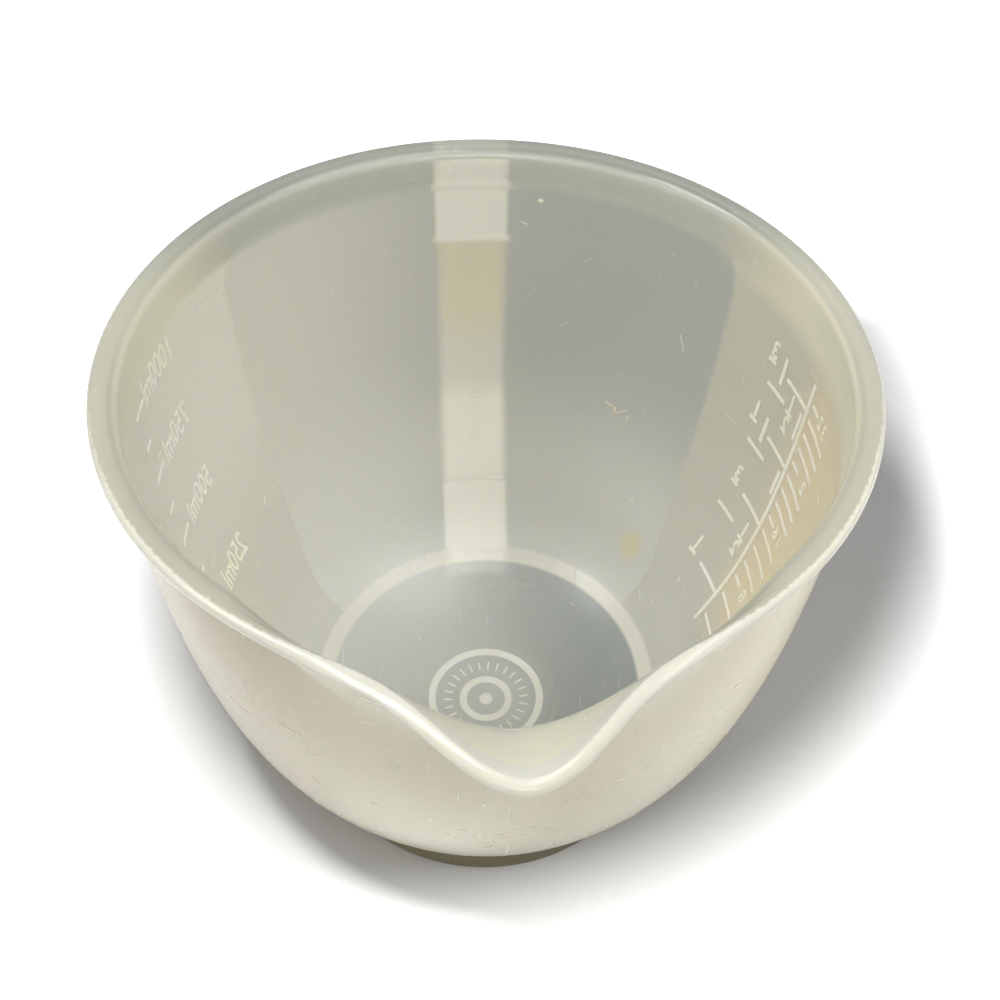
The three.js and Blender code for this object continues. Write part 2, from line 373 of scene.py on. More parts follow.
class Signal:
    """A number or colour in a shader, which plain arithmetic works on."""

    def __init__(self, tree: Tree, socket: Socket) -> None:
        """Keeps the socket and its tree."""
        self.tree = tree
        self.socket = socket

    def math(self, operation: str, other: "Signal | float" = 0.0) -> "Signal":
        """Puts this and another number through a Math node."""
        node = add_node(self.tree, "ShaderNodeMath", {0: self, 1: other}, operation=operation)
        return Signal(self.tree, node.outputs[0])

    def __add__(self, other: "Signal | float") -> "Signal":
        """Adds another number."""
        return self.math("ADD", other)

    def __sub__(self, other: "Signal | float") -> "Signal":
        """Takes another number off."""
        return self.math("SUBTRACT", other)

    def __rsub__(self, other: float) -> "Signal":
        """Takes this off a plain number."""
        return self * -1.0 + other

    def __mul__(self, other: "Signal | float") -> "Signal":
        """Multiplies by another number."""
        return self.math("MULTIPLY", other)

    def __abs__(self) -> "Signal":
        """Drops the sign."""
        return self.math("ABSOLUTE")

    def hypot(self, other: "Signal") -> "Signal":
        """Gives the root of the sum of both squares."""
        return (self.math("POWER", 2.0) + other.math("POWER", 2.0)).math("SQRT")

    def rise(self, low: float, high: float) -> "Signal":
        """Gives 0 up to low and 1 from high on, with a smooth step between."""
        ends = (low, high, 0.0, 1.0) if low < high else (high, low, 1.0, 0.0)
        inputs = dict(zip(("From Min", "From Max", "To Min", "To Max"), ends))
        node = add_node(
            self.tree,
            "ShaderNodeMapRange",
            {"Value": self, **inputs},
            interpolation_type="SMOOTHSTEP",
        )
        return Signal(self.tree, node.outputs["Result"])

    def between(self, low: float, high: float, soft: float) -> "Signal":
        """Gives 1 between low and high and 0 outside, with soft edges."""
        half = soft / 2
        return self.rise(low - half, low + half) * self.rise(high + half, high - half)

    def blend(self, first: "Signal | Colour", second: "Signal | Colour") -> "Signal":
        """Goes from the first colour to the second as this goes from 0 to 1."""
        inputs = {0: self, 6: first, 7: second}
        node = add_node(self.tree, "ShaderNodeMix", inputs, data_type="RGBA")
        return Signal(self.tree, node.outputs[2])


Paint = Signal | Colour


def layered(tone: Paint, *coats: tuple[Signal, Paint]) -> Paint:
    """Lays colours over a tone, each where its mask is 1."""
    for mask, colour in coats:
        tone = mask.blend(tone, colour)
    return tone


class Shader:
    """One material with short calls for the nodes that its finish needs."""

    def __init__(self, name: str) -> None:
        """Starts a material with a Principled shader."""
        self.material = bpy.data.materials.new(name)
        self.material.use_nodes = True
        self.tree = self.material.node_tree
        self.tree.nodes.clear()
        self.surface = add_node(self.tree, "ShaderNodeBsdfPrincipled")
        add_node(self.tree, "ShaderNodeOutputMaterial", {"Surface": self.surface.outputs["BSDF"]})
        self.place = self.signal("ShaderNodeTexCoord", {}, "Object")

    def signal(
        self, kind: str, inputs: dict[str | int, object], output: str | int = 0, **settings: object
    ) -> Signal:
        """Adds a node and gives one of its outputs."""
        return Signal(self.tree, add_node(self.tree, kind, inputs, **settings).outputs[output])

    def set(self, values: dict[str, object]) -> None:
        """Feeds inputs of the Principled shader by name."""
        for name, value in values.items():
            feed(self.tree, value, self.surface.inputs[name])

    def noise(
        self, scale: float, detail: float, stretch: Triple = (1.0, 1.0, 1.0), turn: float = 0.0
    ) -> Signal:
        """Adds a noise pattern in object space.

        Args:
            scale: Waves per metre.
            detail: Octaves of finer noise.
            stretch: Scale of each axis before the pattern.
            turn: Turn round the vertical axis in radians.

        Returns:
            Values round 0.5.
        """
        moves = {"Vector": self.place, "Scale": stretch, "Rotation": (turn, turn / 2, turn)}
        place = self.signal("ShaderNodeMapping", moves)
        inputs = {"Vector": place, "Scale": scale, "Detail": detail}
        return self.signal("ShaderNodeTexNoise", inputs, "Fac")

    def carried(self, name: str) -> Signal:
        """Reads a number that the mesh carries on its faces' corners."""
        return self.signal("ShaderNodeAttribute", {}, "Fac", attribute_name=name)

    def bump(self, height: Signal, strength: float, distance: float) -> Signal:
        """Adds a Bump node and gives its normal."""
        inputs = {"Height": height, "Strength": strength, "Distance": distance}
        return self.signal("ShaderNodeBump", inputs, "Normal")


class JugPlace:
    """Where a shaded point is on the jug, in millimetres and degrees."""

    def __init__(self, shader: Shader) -> None:
        """Works out height, radius and azimuth from object coordinates."""
        split = add_node(shader.tree, "ShaderNodeSeparateXYZ", {0: shader.place})
        x, y, z = (Signal(shader.tree, axis) * (1 / MM) for axis in split.outputs)
        self.across = x
        self.back = y - SIZES.axis_offset
        self.height = z
        self.azimuth = x.math("ARCTAN2", self.back) * math.degrees(1.0)
        self.swing = abs(self.azimuth)
        self.radius = x.hypot(self.back)


# Light inside the plastic of the moulding and of its marks
PLASTIC = {"Subsurface Radius": (1.0, 0.9, 0.62), "Subsurface Scale": 0.004, "IOR": 1.49}


@dataclass(frozen=True)
class MilkyPlastic:
    """Translucent moulded plastic, with tones round the jug, many of them painted light and shade."""

    outside: Colour = (0.86, 0.84, 0.735)
    # Outer wall: the darker left and bottom are painted shade, the lighter right is painted light
    outside_left_shade: Colour = (0.655, 0.60, 0.415)
    outside_right_light: Colour = (0.92, 0.88, 0.75)
    outside_low_shade: Colour = (0.55, 0.50, 0.355)
    # Darker foot ring: painted shade under the bowl's overhang
    foot: Colour = (0.56, 0.53, 0.42)
    # Inner face: the lighter left wall, the darker right wall and back and the tones low down are
    # painted light and shade
    left_wall: Colour = (0.96, 0.955, 0.91)
    back_left: Colour = (0.865, 0.87, 0.84)
    back_right_shade: Colour = (0.74, 0.755, 0.75)
    back_low: Colour = (0.86, 0.865, 0.83)
    panel_low: Colour = (0.875, 0.88, 0.85)
    right_wall_shade: Colour = (0.85, 0.85, 0.81)
    # Warm lighter patch at the right edge of the inner wall: painted glow of light through the wall
    right_edge_glow: Colour = (0.998, 0.915, 0.80)
    floor: Colour = (0.88, 0.885, 0.86)
    # Darker right half of the bowl's floor: painted shade
    floor_shade: Colour = (0.69, 0.715, 0.71)
    # Lip whitened by wear; its back half is painted shade
    lip: Colour = (0.975, 0.96, 0.88)
    lip_back_shade: Colour = (0.72, 0.72, 0.67)
    # Flat brim: the darker back is painted shade
    brim: Colour = (0.775, 0.775, 0.715)
    brim_back_shade: Colour = (0.62, 0.635, 0.60)
    # Pale bend inside the brim on the sides: painted highlight
    ridge_highlight: Colour = (0.995, 0.97, 0.88)
    # Band just under the brim at the back: painted shade
    under_brim_shade: Colour = (0.80, 0.815, 0.785)
    # Handle showing through the back wall: lighter tone painted for light through the thicker
    # plastic, with painted shade in its middle
    root_block: Colour = (0.985, 0.975, 0.91)
    # Bright ring at the floor's edge: the foot ring seen through, painted lighter, and a painted
    # highlight on the corner
    annulus: Colour = (0.995, 0.98, 0.915)
    root_shade: Colour = (0.90, 0.85, 0.74)
    stain: Colour = (0.90, 0.82, 0.58)
    milk: float = 0.75
    clear: float = 0.25
    shine: float = 0.28
    panel_middle: float = 1.2
    panel_half_width: float = 64.0
    panel_widening: float = 6.0
    panel_top: float = 114.6
    panel_corner: float = 8.0
    strip_shift: float = -0.25
    strip: tuple[float, float] = (8.2, 1.3)
    soft_strip: tuple[float, float] = (7.6, 3.6)
    ear_strip: tuple[float, float] = (9.0, 1.0)
    root_blocks: tuple[Triple, ...] = ((17.0, 31.0, 1.2), (98.8, 112.2, 1.0), (113.0, 121.0, 1.0))
    root_ears: tuple[Triple, ...] = ((98.2, 100.0, 1.2), (112.2, 114.0, 1.2))
    stain_place: tuple[float, float] = (51.3, 27.0)

    def panel_mask(self, spot: JugPlace) -> Signal:
        """Marks the matt panel on the back wall, which has rounded upper corners."""
        turned = abs(spot.azimuth - self.panel_middle)
        side = turned * (SIZES.inner_top_radius * math.pi / 180)
        side = side - spot.height.rise(50.0, 16.0) * self.panel_widening
        past_side = side - (self.panel_half_width - self.panel_corner)
        past_top = spot.height - (self.panel_top - self.panel_corner)
        gap = past_side.math("MAXIMUM").hypot(past_top.math("MAXIMUM"))
        inside = gap.rise(self.panel_corner + 0.7, self.panel_corner - 0.9)
        return inside * spot.radius.rise(40.5, 42.5)

    def inside_tone(self, spot: JugPlace, panel: Signal) -> Signal:
        """Mixes the tones of the inner face, with the matt panel where its mask is 1. Its lighter
        left, its darker right and back, its changed tones low down and the glow at the right edge are
        painted light and shade.
        """
        low_side = spot.height.rise(80.0, 35.0) * spot.swing.rise(100.0, 75.0)
        edge = spot.azimuth.between(84.0, 116.0, 14.0) * spot.height.between(38.0, 108.0, 22.0)
        # Back wall darkening towards the right: painted shade
        back = layered(
            self.back_left,
            (spot.azimuth.rise(-48.0, 28.0), self.back_right_shade),
            (spot.height.rise(74.0, 30.0) * 0.75, self.panel_low),
        )
        wall = layered(
            self.left_wall,
            (spot.across.rise(-24.0, 62.0), self.right_wall_shade),
            (low_side * 0.7, self.back_low),
            (panel * 0.9, back),
            # Painted glow of light through the right wall
            (edge, self.right_edge_glow),
            # Painted shade under the brim at the back
            (spot.height.rise(111.6, 114.0) * spot.swing.rise(85.0, 50.0), self.under_brim_shade),
        )
        # Painted shade over the right half of the bowl's floor
        far_right = spot.across.rise(-14.0, 30.0) * spot.radius.rise(4.0, 20.0)
        floor = (far_right * 0.9).blend(self.floor, self.floor_shade)
        return layered(
            self.root_tones(spot, wall),
            (spot.radius.rise(40.6, 39.8), floor),
            # Painted light and highlight round the floor's edge, over the foot ring seen through
            (spot.radius.between(37.6, 41.0, 1.0), self.annulus),
        )

    def strip_mask(self, spot: JugPlace, half: float, soft: float) -> Signal:
        """Marks the strip of the back wall that the handle is behind.

        Args:
            spot: Place of the shaded point.
            half: Half the strip's width.
            soft: Width of its soft edges.

        Returns:
            1 on the strip and 0 beside it.
        """
        shift = self.strip_shift
        upright = spot.across.between(shift - half, shift + half, soft) * spot.back.rise(0.0, 2.0)
        return upright * spot.height.between(14.0, 119.8, 0.8)

    def root_tones(self, spot: JugPlace, tone: Signal) -> Signal:
        """Adds the strip where the handle shows through the back wall, painted lighter for light
        through the thicker plastic, with painted shade in its middle.
        """
        strip, soft_strip, ears = (
            self.strip_mask(spot, *sizes) for sizes in (self.strip, self.soft_strip, self.ear_strip)
        )
        middle = spot.height.between(64.0, 98.5, 2.0) * spot.height.rise(62.0, 84.0)
        lower = spot.height.between(31.0, 56.0, 9.0)
        blocks = [strip * spot.height.between(*span) * 0.95 for span in self.root_blocks]
        blocks += [ears * spot.height.between(*span) * 0.6 for span in self.root_ears]
        return layered(
            tone,
            (soft_strip * 0.36, self.root_block),
            (soft_strip * middle * 0.6, self.root_shade),
            (soft_strip * lower * 0.75, self.root_block),
            *((block, self.root_block) for block in blocks),
        )

    def brim_tones(
        self, shader: Shader, spot: JugPlace, tone: Signal, inner: Signal, lip_gap: Signal
    ) -> Signal:
        """Adds the tones of the brim, with painted shade at its back, a painted highlight on the bend
        inside it, and the worn lip, lighter at the front and painted shade at the back.

        Args:
            shader: Material that is being made.
            spot: Place of the shaded point.
            tone: Colour so far.
            inner: 1 inside the bowl and 0 outside it.
            lip_gap: Millimetres from the lip along the section.

        Returns:
            The colour with the brim.
        """
        side = spot.swing.rise(45.0, 80.0)
        # Painted highlight on the bend inside the brim, on the sides only
        ridge_highlight = lip_gap.rise(4.6, 6.0) * lip_gap.rise(21.0, 13.0) * side * inner
        root = spot.across.between(-8.4, 7.9, 1.3) * spot.back.rise(0.0, 2.0)
        # Flat brim with painted shade at the back, and the handle's root showing through as a faint
        # painted lighter patch
        grey = layered(self.brim_back_shade, (side, self.brim), (root * 0.15, self.root_block))
        flat = lip_gap.rise(6.2, 4.6) * spot.swing.rise(166.0, 146.0) * inner
        worn = lip_gap + shader.noise(900.0, 4.0) * 1.1
        front = spot.swing.rise(75.0, 125.0)
        glint = worn.rise(1.5, 1.1) * shader.noise(380.0, 2.0).rise(0.6, 0.66)
        return layered(
            tone,
            (ridge_highlight * 0.95, self.ridge_highlight),
            (flat, grey),
            # Worn lip, with painted shade on its back half
            ((worn - front).rise(1.7, 1.1), front.blend(self.lip_back_shade, self.lip)),
            (glint, self.lip),
        )

    def build(self) -> Finish:
        """Makes the material."""
        shader = Shader("milky_plastic")
        spot = JugPlace(shader)
        panel = self.panel_mask(spot)
        inner = shader.carried("inner")
        lip_gap = LIP_REACH - shader.carried("lip_near")
        cloudy = shader.noise(28.0, 4.0)
        grain = shader.noise(420.0, 3.0)
        outside = layered(
            self.outside,
            # Painted shade on the left of the outer wall and towards its bottom, painted light on its
            # right
            (spot.across.rise(-18.0, -60.0), self.outside_left_shade),
            (spot.across.rise(25.0, 60.0), self.outside_right_light),
            (spot.height.rise(54.0, 6.0), self.outside_low_shade),
        )
        tone = inner.blend(outside, self.inside_tone(spot, panel))
        tone = self.brim_tones(shader, spot, tone, inner, lip_gap)
        turned, up = self.stain_place
        stain = (spot.azimuth - turned).hypot(spot.height - up).rise(5.0, 1.5)
        tone = layered(
            tone,
            # Painted shade on the foot ring
            (spot.height.rise(14.5, 12.5) * inner.rise(0.6, 0.4), self.foot),
            (stain * inner * 0.4, self.stain),
            (grain.rise(0.66, 0.74) * 0.18, self.lip),
        )
        washed = shader.noise(55.0, 2.0, (1.0, 1.0, 16.0), 0.5)
        wiped = shader.noise(60.0, 2.0, (14.0, 1.0, 1.0), -0.7)
        scratches = washed.math("MAXIMUM", wiped).rise(0.70, 0.76)
        rough = panel * inner * 0.12 + 0.25 + (cloudy - 0.5) * 0.16
        rough = rough + scratches * 0.06 + lip_gap.rise(9.0, 7.0) * -0.17
        solid = panel * inner * 0.10 + self.strip_mask(spot, *self.soft_strip) * inner * 0.2
        relief = grain * 0.25 + scratches * -0.12 + cloudy * 0.7
        shader.set(
            {
                "Base Color": tone,
                "Roughness": rough,
                "Transmission Weight": (self.clear - solid).math("MAXIMUM"),
                "Subsurface Weight": self.milk,
                "Specular IOR Level": self.shine,
                "Normal": shader.bump(relief, 0.35, 0.0003),
                **PLASTIC,
            }
        )
        return shader.material


@dataclass(frozen=True)
class MarkPlastic:
    """Frosted relief of the graduations, of the rings on the floor and of scuffs."""

    name: str
    colour: Colour
    aged: Colour
    roughness: float = 0.5
    milk: float = 0.75

    def build(self) -> Finish:
        """Makes the material."""
        shader = Shader(self.name)
        patchy = shader.noise(60.0, 3.0)
        fine = shader.noise(700.0, 3.0)
        shader.set(
            {
                "Base Color": patchy.rise(0.35, 0.7).blend(self.colour, self.aged),
                "Roughness": fine * 0.2 + (self.roughness - 0.1),
                "Subsurface Weight": self.milk,
                "Normal": shader.bump(fine, 0.3, 0.0001),
                **PLASTIC,
            }
        )
        return shader.material


class TreeKind(Enum):
    """Geometry Nodes trees that the pieces share."""

    BARS = "bars_on_points"
    SWEEP = "profile_round_axis"


class GeometryTree:
    """A Geometry Nodes tree that is made once and given to a piece as a modifier."""

    def __init__(self, kind: TreeKind) -> None:
        """Makes the tree with its inputs, makes instances real and sets the material."""
        self.tree = bpy.data.node_groups.new(kind.value, "GeometryNodeTree")
        self.sockets: dict[str, str] = {}
        for name, holds in (("Points", "Geometry"), ("Count", "Int"), ("Finish", "Material")):
            socket = self.tree.interface.new_socket(
                name, in_out="INPUT", socket_type=f"NodeSocket{holds}"
            )
            self.sockets[name] = socket.identifier
        self.tree.interface.new_socket("Result", in_out="OUTPUT", socket_type="NodeSocketGeometry")
        points, count, finish, _ = add_node(self.tree, "NodeGroupInput").outputs
        made = self.bars(points, count) if kind is TreeKind.BARS else self.sweep(points, count)
        real = self.out("GeometryNodeRealizeInstances", {"Geometry": made})
        dressed = self.out("GeometryNodeSetMaterial", {"Geometry": real, "Material": finish})
        add_node(self.tree, "NodeGroupOutput", {"Result": dressed})

    def out(self, kind: str, inputs: dict[str, object], **settings: object) -> Socket:
        """Adds a node and gives its first output."""
        return add_node(self.tree, kind, inputs, **settings).outputs[0]

    def vector(self, name: str) -> Socket:
        """Reads a vector that each point carries."""
        kind = "GeometryNodeInputNamedAttribute"
        return self.out(kind, {"Name": name}, data_type="FLOAT_VECTOR")

    def bars(self, points: Socket, cuts: Socket) -> Socket:
        """Puts a bar on each point, with the point's own size and turn."""
        corners = {"Vertices X": cuts, "Vertices Y": 2, "Vertices Z": 2}
        bar = self.out("GeometryNodeMeshCube", {"Size": (1, 1, 1), **corners})
        turn = self.out("FunctionNodeEulerToRotation", {"Euler": self.vector("turn")})
        place = {"Points": points, "Instance": bar, "Rotation": turn, "Scale": self.vector("size")}
        return self.out("GeometryNodeInstanceOnPoints", place)

    def sweep(self, outline: Socket, steps: Socket) -> Socket:
        """Sweeps the input outline round the vertical axis."""
        ring = self.out("GeometryNodeCurvePrimitiveCircle", {"Resolution": steps, "Radius": 1.0})
        upright = self.out("GeometryNodeSetCurveNormal", {"Curve": ring}, mode="Z_UP")
        profile = self.out("GeometryNodeMeshToCurve", {"Mesh": outline})
        return self.out("GeometryNodeCurveToMesh", {"Curve": upright, "Profile Curve": profile})

    def apply(self, mesh: bpy.types.Mesh, name: str, count: int, finish: Finish) -> Thing:
        """Runs the tree on a mesh and keeps the result as a plain object.

        Args:
            mesh: Points or outline that the tree works on.
            name: Name of the result.
            count: Points along each bar, or steps round the axis.
            finish: Material of the result.

        Returns:
            A new object without modifiers.
        """
        seed = added(name, mesh)
        modifier = seed.modifiers.new("build", "NODES")
        modifier.node_group = self.tree
        modifier[self.sockets["Count"]] = count
        modifier[self.sockets["Finish"]] = finish
        return baked(seed, name)


class Reach(Enum):
    """How far a mark goes into the wall, in millimetres from the inner face."""

    THROUGH = (-0.14, 2.04)
    INSIDE = (-0.07, 0.30)
    OUTSIDE = (1.55, 1.97)


@dataclass(frozen=True)
class Bar:
    """One bar: its middle, its size and its turn in radians."""

    middle: Triple
    size: Triple
    turn: Triple = (0.0, 0.0, 0.0)


class Workshop:
    """Holds the wall and the shared Geometry Nodes trees, and works with them."""

    def __init__(self) -> None:
        """Draws the wall and builds each tree once."""
        self.wall = Wall()
        self.trees = {kind: GeometryTree(kind) for kind in TreeKind}

    def bars(self, name: str, bars: list[Bar], cuts: int, finish: Finish) -> Thing:
        """Makes bars as one object, in the units of their own sheet or of the jug."""
        mesh = bpy.data.meshes.new(name)
        mesh.from_pydata([bar.middle for bar in bars], [], [])
        for label in ("size", "turn"):
            layer = mesh.attributes.new(label, "FLOAT_VECTOR", "POINT")
            layer.data.foreach_set("vector", np.ravel([getattr(bar, label) for bar in bars]))
        return self.trees[TreeKind.BARS].apply(mesh, name, cuts, finish)

    def sweep(self, name: str, outline: Rows, steps: int, finish: Finish) -> Thing:
        """Sweeps a closed outline of radius and height round the jug's axis."""
        count = len(outline)
        flat = np.stack([outline[:, 0] - 1.0, -outline[:, 1], np.zeros(count)], axis=1)
        mesh = bpy.data.meshes.new(name)
        mesh.from_pydata(flat.tolist(), [(k, (k + 1) % count) for k in range(count)], [])
        return settled(self.trees[TreeKind.SWEEP].apply(mesh, name, steps, finish))

    def wrap(self, piece: Thing, reach: Reach, azimuth: float) -> Thing:
        """Wraps a flat sheet of marks on the wall, where it reads right from outside.

        Args:
            piece: Mesh with x along the wall, y up from the table and z from 0 to 1.
            reach: Depths in the wall of z = 0 and z = 1.
            azimuth: Azimuth of the sheet's x = 0.

        Returns:
            The same object in the row frame.
        """
        flat = points_of(piece)
        turn = azimuth - np.degrees(flat[:, 0] / self.wall.radius_at(flat[:, 1]))
        near, far = reach.value
        depth = near + (far - near) * flat[:, 2]
        set_points(piece, self.wall.on_wall(turn, flat[:, 1], depth))
        return settled(piece)


@dataclass
class Assembly:
    """What every sub-assembly is made with."""

    shop: Workshop
    finish: Finish

    @property
    def wall(self) -> Wall:
        """Gives the bowl's profile."""
        return self.shop.wall


def level(like: Rows, radius: Rows, height: float) -> Rows:
    """Gives one radius and height for each column of a row."""
    return np.stack([like * 0 + radius, like * 0 + height])


@dataclass
class Bowl(Assembly):
    """Bowl with its brim and spout, as one closed sheet of plastic."""

    spout_zone: float = 50.0
    spout_grading: float = 0.5
    spout_columns: int = 110
    round_columns: int = 140
    floor_rows: int = 16
    corner_rows: int = 10
    wall_rows: int = 24
    lip_rows: int = 7
    bend_share: tuple[float, float] = (0.4, 0.8)
    bead_share: float = 0.9
    top_rows: tuple[int, ...] = (14, 12, 3, 3)
    trough_curve: float = 1.6

    def azimuths(self) -> Rows:
        """Gives the columns' azimuths from the spout in radians, closer where the lip bends."""
        v = 2 * np.arange(self.spout_columns) / self.spout_columns - 1
        near = self.spout_zone * ((1 - self.spout_grading) * v + self.spout_grading * v**3)
        rest = 360 - 2 * self.spout_zone
        far = self.spout_zone + rest * np.arange(self.round_columns) / self.round_columns
        return np.radians(np.concatenate([near, far]))

    def lip_radius(self, swing: Rows) -> Rows:
        """Gives the lip's outer radius at an angle from the spout in degrees."""
        spread = (swing / SIZES.spout_spread) ** SIZES.spout_shoulder
        return SIZES.rim_radius + SIZES.spout_reach * np.exp(-spread / 2)

    def brim_section(self, share: float, edge: Rows) -> Rows:
        """Gives one row of the upper wall, the bend or the flat brim.

        Args:
            share: 0 at the start of the upper wall and 1 at the lip.
            edge: Radius of the lip's flat for each column.

        Returns:
            Radius and height for each column.
        """
        start, end = self.bend_share
        bend = SIZES.brim_bend
        wall_end = SIZES.jug_height - bend
        wall_start = SIZES.jug_height - SIZES.spout_depth
        if share <= start:
            height = wall_start + (wall_end - wall_start) * share / start
            return level(edge, self.wall.radius_at(height), height)
        centre = float(self.wall.radius_at(wall_end)) + bend
        if share <= end:
            turn = (share - start) / (end - start) * math.pi / 2
            return level(edge, centre - bend * math.cos(turn), wall_end + bend * math.sin(turn))
        bead = edge - SIZES.bead_width
        if share <= self.bead_share:
            radius = centre + (bead - centre) * ((share - end) / (self.bead_share - end))
        else:
            radius = bead + (edge - bead) * ((share - self.bead_share) / (1 - self.bead_share))
        return level(edge, radius, SIZES.jug_height)

    def trough_section(self, share: float, edge: Rows) -> Rows:
        """Gives one row down the middle of the spout, where the wall flares to the lip."""
        depth = SIZES.spout_depth * (1 - share) ** self.trough_curve
        opened = (1 - depth / SIZES.spout_depth) ** SIZES.spout_curl
        flare = (edge - SIZES.inner_top_radius) * opened
        height = SIZES.jug_height - depth
        return level(edge, self.wall.radius_at(height) + flare, height)

    def inner_face(self, turns: Rows) -> tuple[Rows, Rows]:
        """Makes the inner face from beside the floor's middle to the lip.

        Args:
            turns: Azimuths from the spout in radians.

        Returns:
            Points by row and column, and the wall's thickness in each row.
        """
        swing = np.degrees(np.abs(np.arctan2(np.sin(turns), np.cos(turns))))
        dish = SIZES.dish_radius
        steps = np.arange(1, self.floor_rows + 1) / self.floor_rows
        tilt = steps * math.asin(SIZES.disc_radius / dish)
        floor = np.stack([dish * np.sin(tilt), SIZES.dish_centre - dish * np.cos(tilt)], axis=1)
        picks = np.linspace(0, len(self.wall.corner_line) - 1, self.corner_rows + 1).astype(int)
        spout_bottom = SIZES.jug_height - SIZES.spout_depth
        heights = np.linspace(SIZES.wall_foot_height, spout_bottom, self.wall_rows + 1)[1:]
        upright = np.stack([self.wall.radius_at(heights), heights], axis=1)
        plain = np.concatenate([floor, self.wall.corner_line[picks[1:]], upright])
        sections = [level(turns, radius, height) for radius, height in plain]
        edge = self.lip_radius(swing) - SIZES.lip_round
        fade = SIZES.brim_fade_start - SIZES.brim_fade_end
        share_of_spout = smoothstep(SIZES.brim_fade_start - swing, 0.0, fade)
        stops = (0.0, *self.bend_share, self.bead_share, 1.0)
        spans = zip(stops, stops[1:], self.top_rows)
        tops = np.concatenate([np.linspace(low, high, rows + 1)[1:] for low, high, rows in spans])
        for share in tops:
            brim = self.brim_section(share, edge)
            trough = self.trough_section(share, edge)
            sections.append(brim + (trough - brim) * share_of_spout)
        radius, height = np.stack(sections, axis=1)
        points = np.stack([radius * np.sin(turns), -radius * np.cos(turns), height], axis=2)
        wall = SIZES.wall_thickness
        thickness = np.full(len(sections), wall)
        thickness[: self.floor_rows] = SIZES.floor_thickness
        lips = smoothstep(tops, self.bend_share[1], self.bead_share)
        thickness[-len(tops) :] = wall + (SIZES.lip_thickness - wall) * lips
        return points, thickness

    def build(self) -> Thing:
        """Makes the closed sheet and stores on its points what the finish reads."""
        turns = self.azimuths()
        inner, thickness = self.inner_face(turns)
        along = np.empty_like(inner)
        along[1:-1] = inner[2:] - inner[:-2]
        along[0] = inner[1] - inner[0]
        along[-1] = inner[-1] - inner[-2]
        across = np.roll(inner, -1, axis=1) - np.roll(inner, 1, axis=1)
        normal = np.cross(along, across)
        normal /= np.linalg.norm(normal, axis=2, keepdims=True)
        outer = inner - normal * thickness[:, None, None]
        middle = (inner[-1] + outer[-1]) / 2
        half = inner[-1] - middle
        outward = np.stack([np.sin(turns), -np.cos(turns), turns * 0], axis=1)
        edge = []
        for k in range(1, self.lip_rows + 1):
            turn = k / (self.lip_rows + 1) * math.pi
            rounded = outward * SIZES.lip_round * math.sin(turn)
            edge.append(middle + half * math.cos(turn) + rounded)
        rows = np.concatenate([inner, np.array(edge), outer[::-1]])
        gaps = np.linalg.norm(np.diff(rows, axis=0), axis=2)
        travel = np.concatenate([np.zeros((1, len(turns))), np.cumsum(gaps, axis=0)])
        lip_row = len(inner) + self.lip_rows // 2
        lip_gap = np.minimum(np.abs(travel - travel[lip_row]), LIP_REACH)
        side = np.zeros(len(rows))
        side[: len(inner)] = 1.0
        side[len(inner) : len(inner) + self.lip_rows] = np.linspace(0.9, 0.1, self.lip_rows)
        return self.close(rows, side, lip_gap)

    def close(self, rows: Rows, side: Rows, lip_gap: Rows) -> Thing:
        """Adds the two middle points of the floor and makes the mesh.

        Args:
            rows: Points by row and column.
            side: 1 for rows inside the bowl and 0 for rows outside it.
            lip_gap: Distance to the lip along the section for each point.

        Returns:
            The bowl.
        """
        count, columns = rows.shape[:2]
        floor_height = SIZES.dish_centre - SIZES.dish_radius
        poles = [(0, 0, floor_height), (0, 0, floor_height - SIZES.floor_thickness)]
        faces = grid_faces(count, columns)
        first = count * columns
        end = first - columns
        for j in range(columns):
            after = (j + 1) % columns
            faces += [(first, j, after), (first + 1, end + after, end + j)]
        bowl = make_piece("bowl_sheet", np.concatenate([rows.reshape(-1, 3), poles]), faces)
        lip_near = LIP_REACH - np.concatenate([lip_gap.ravel(), [LIP_REACH, LIP_REACH]])
        carry(bowl, np.concatenate([np.repeat(side, columns), [1.0, 0.0]]), lip_near)
        bowl.data.materials.append(self.finish)
        return bowl


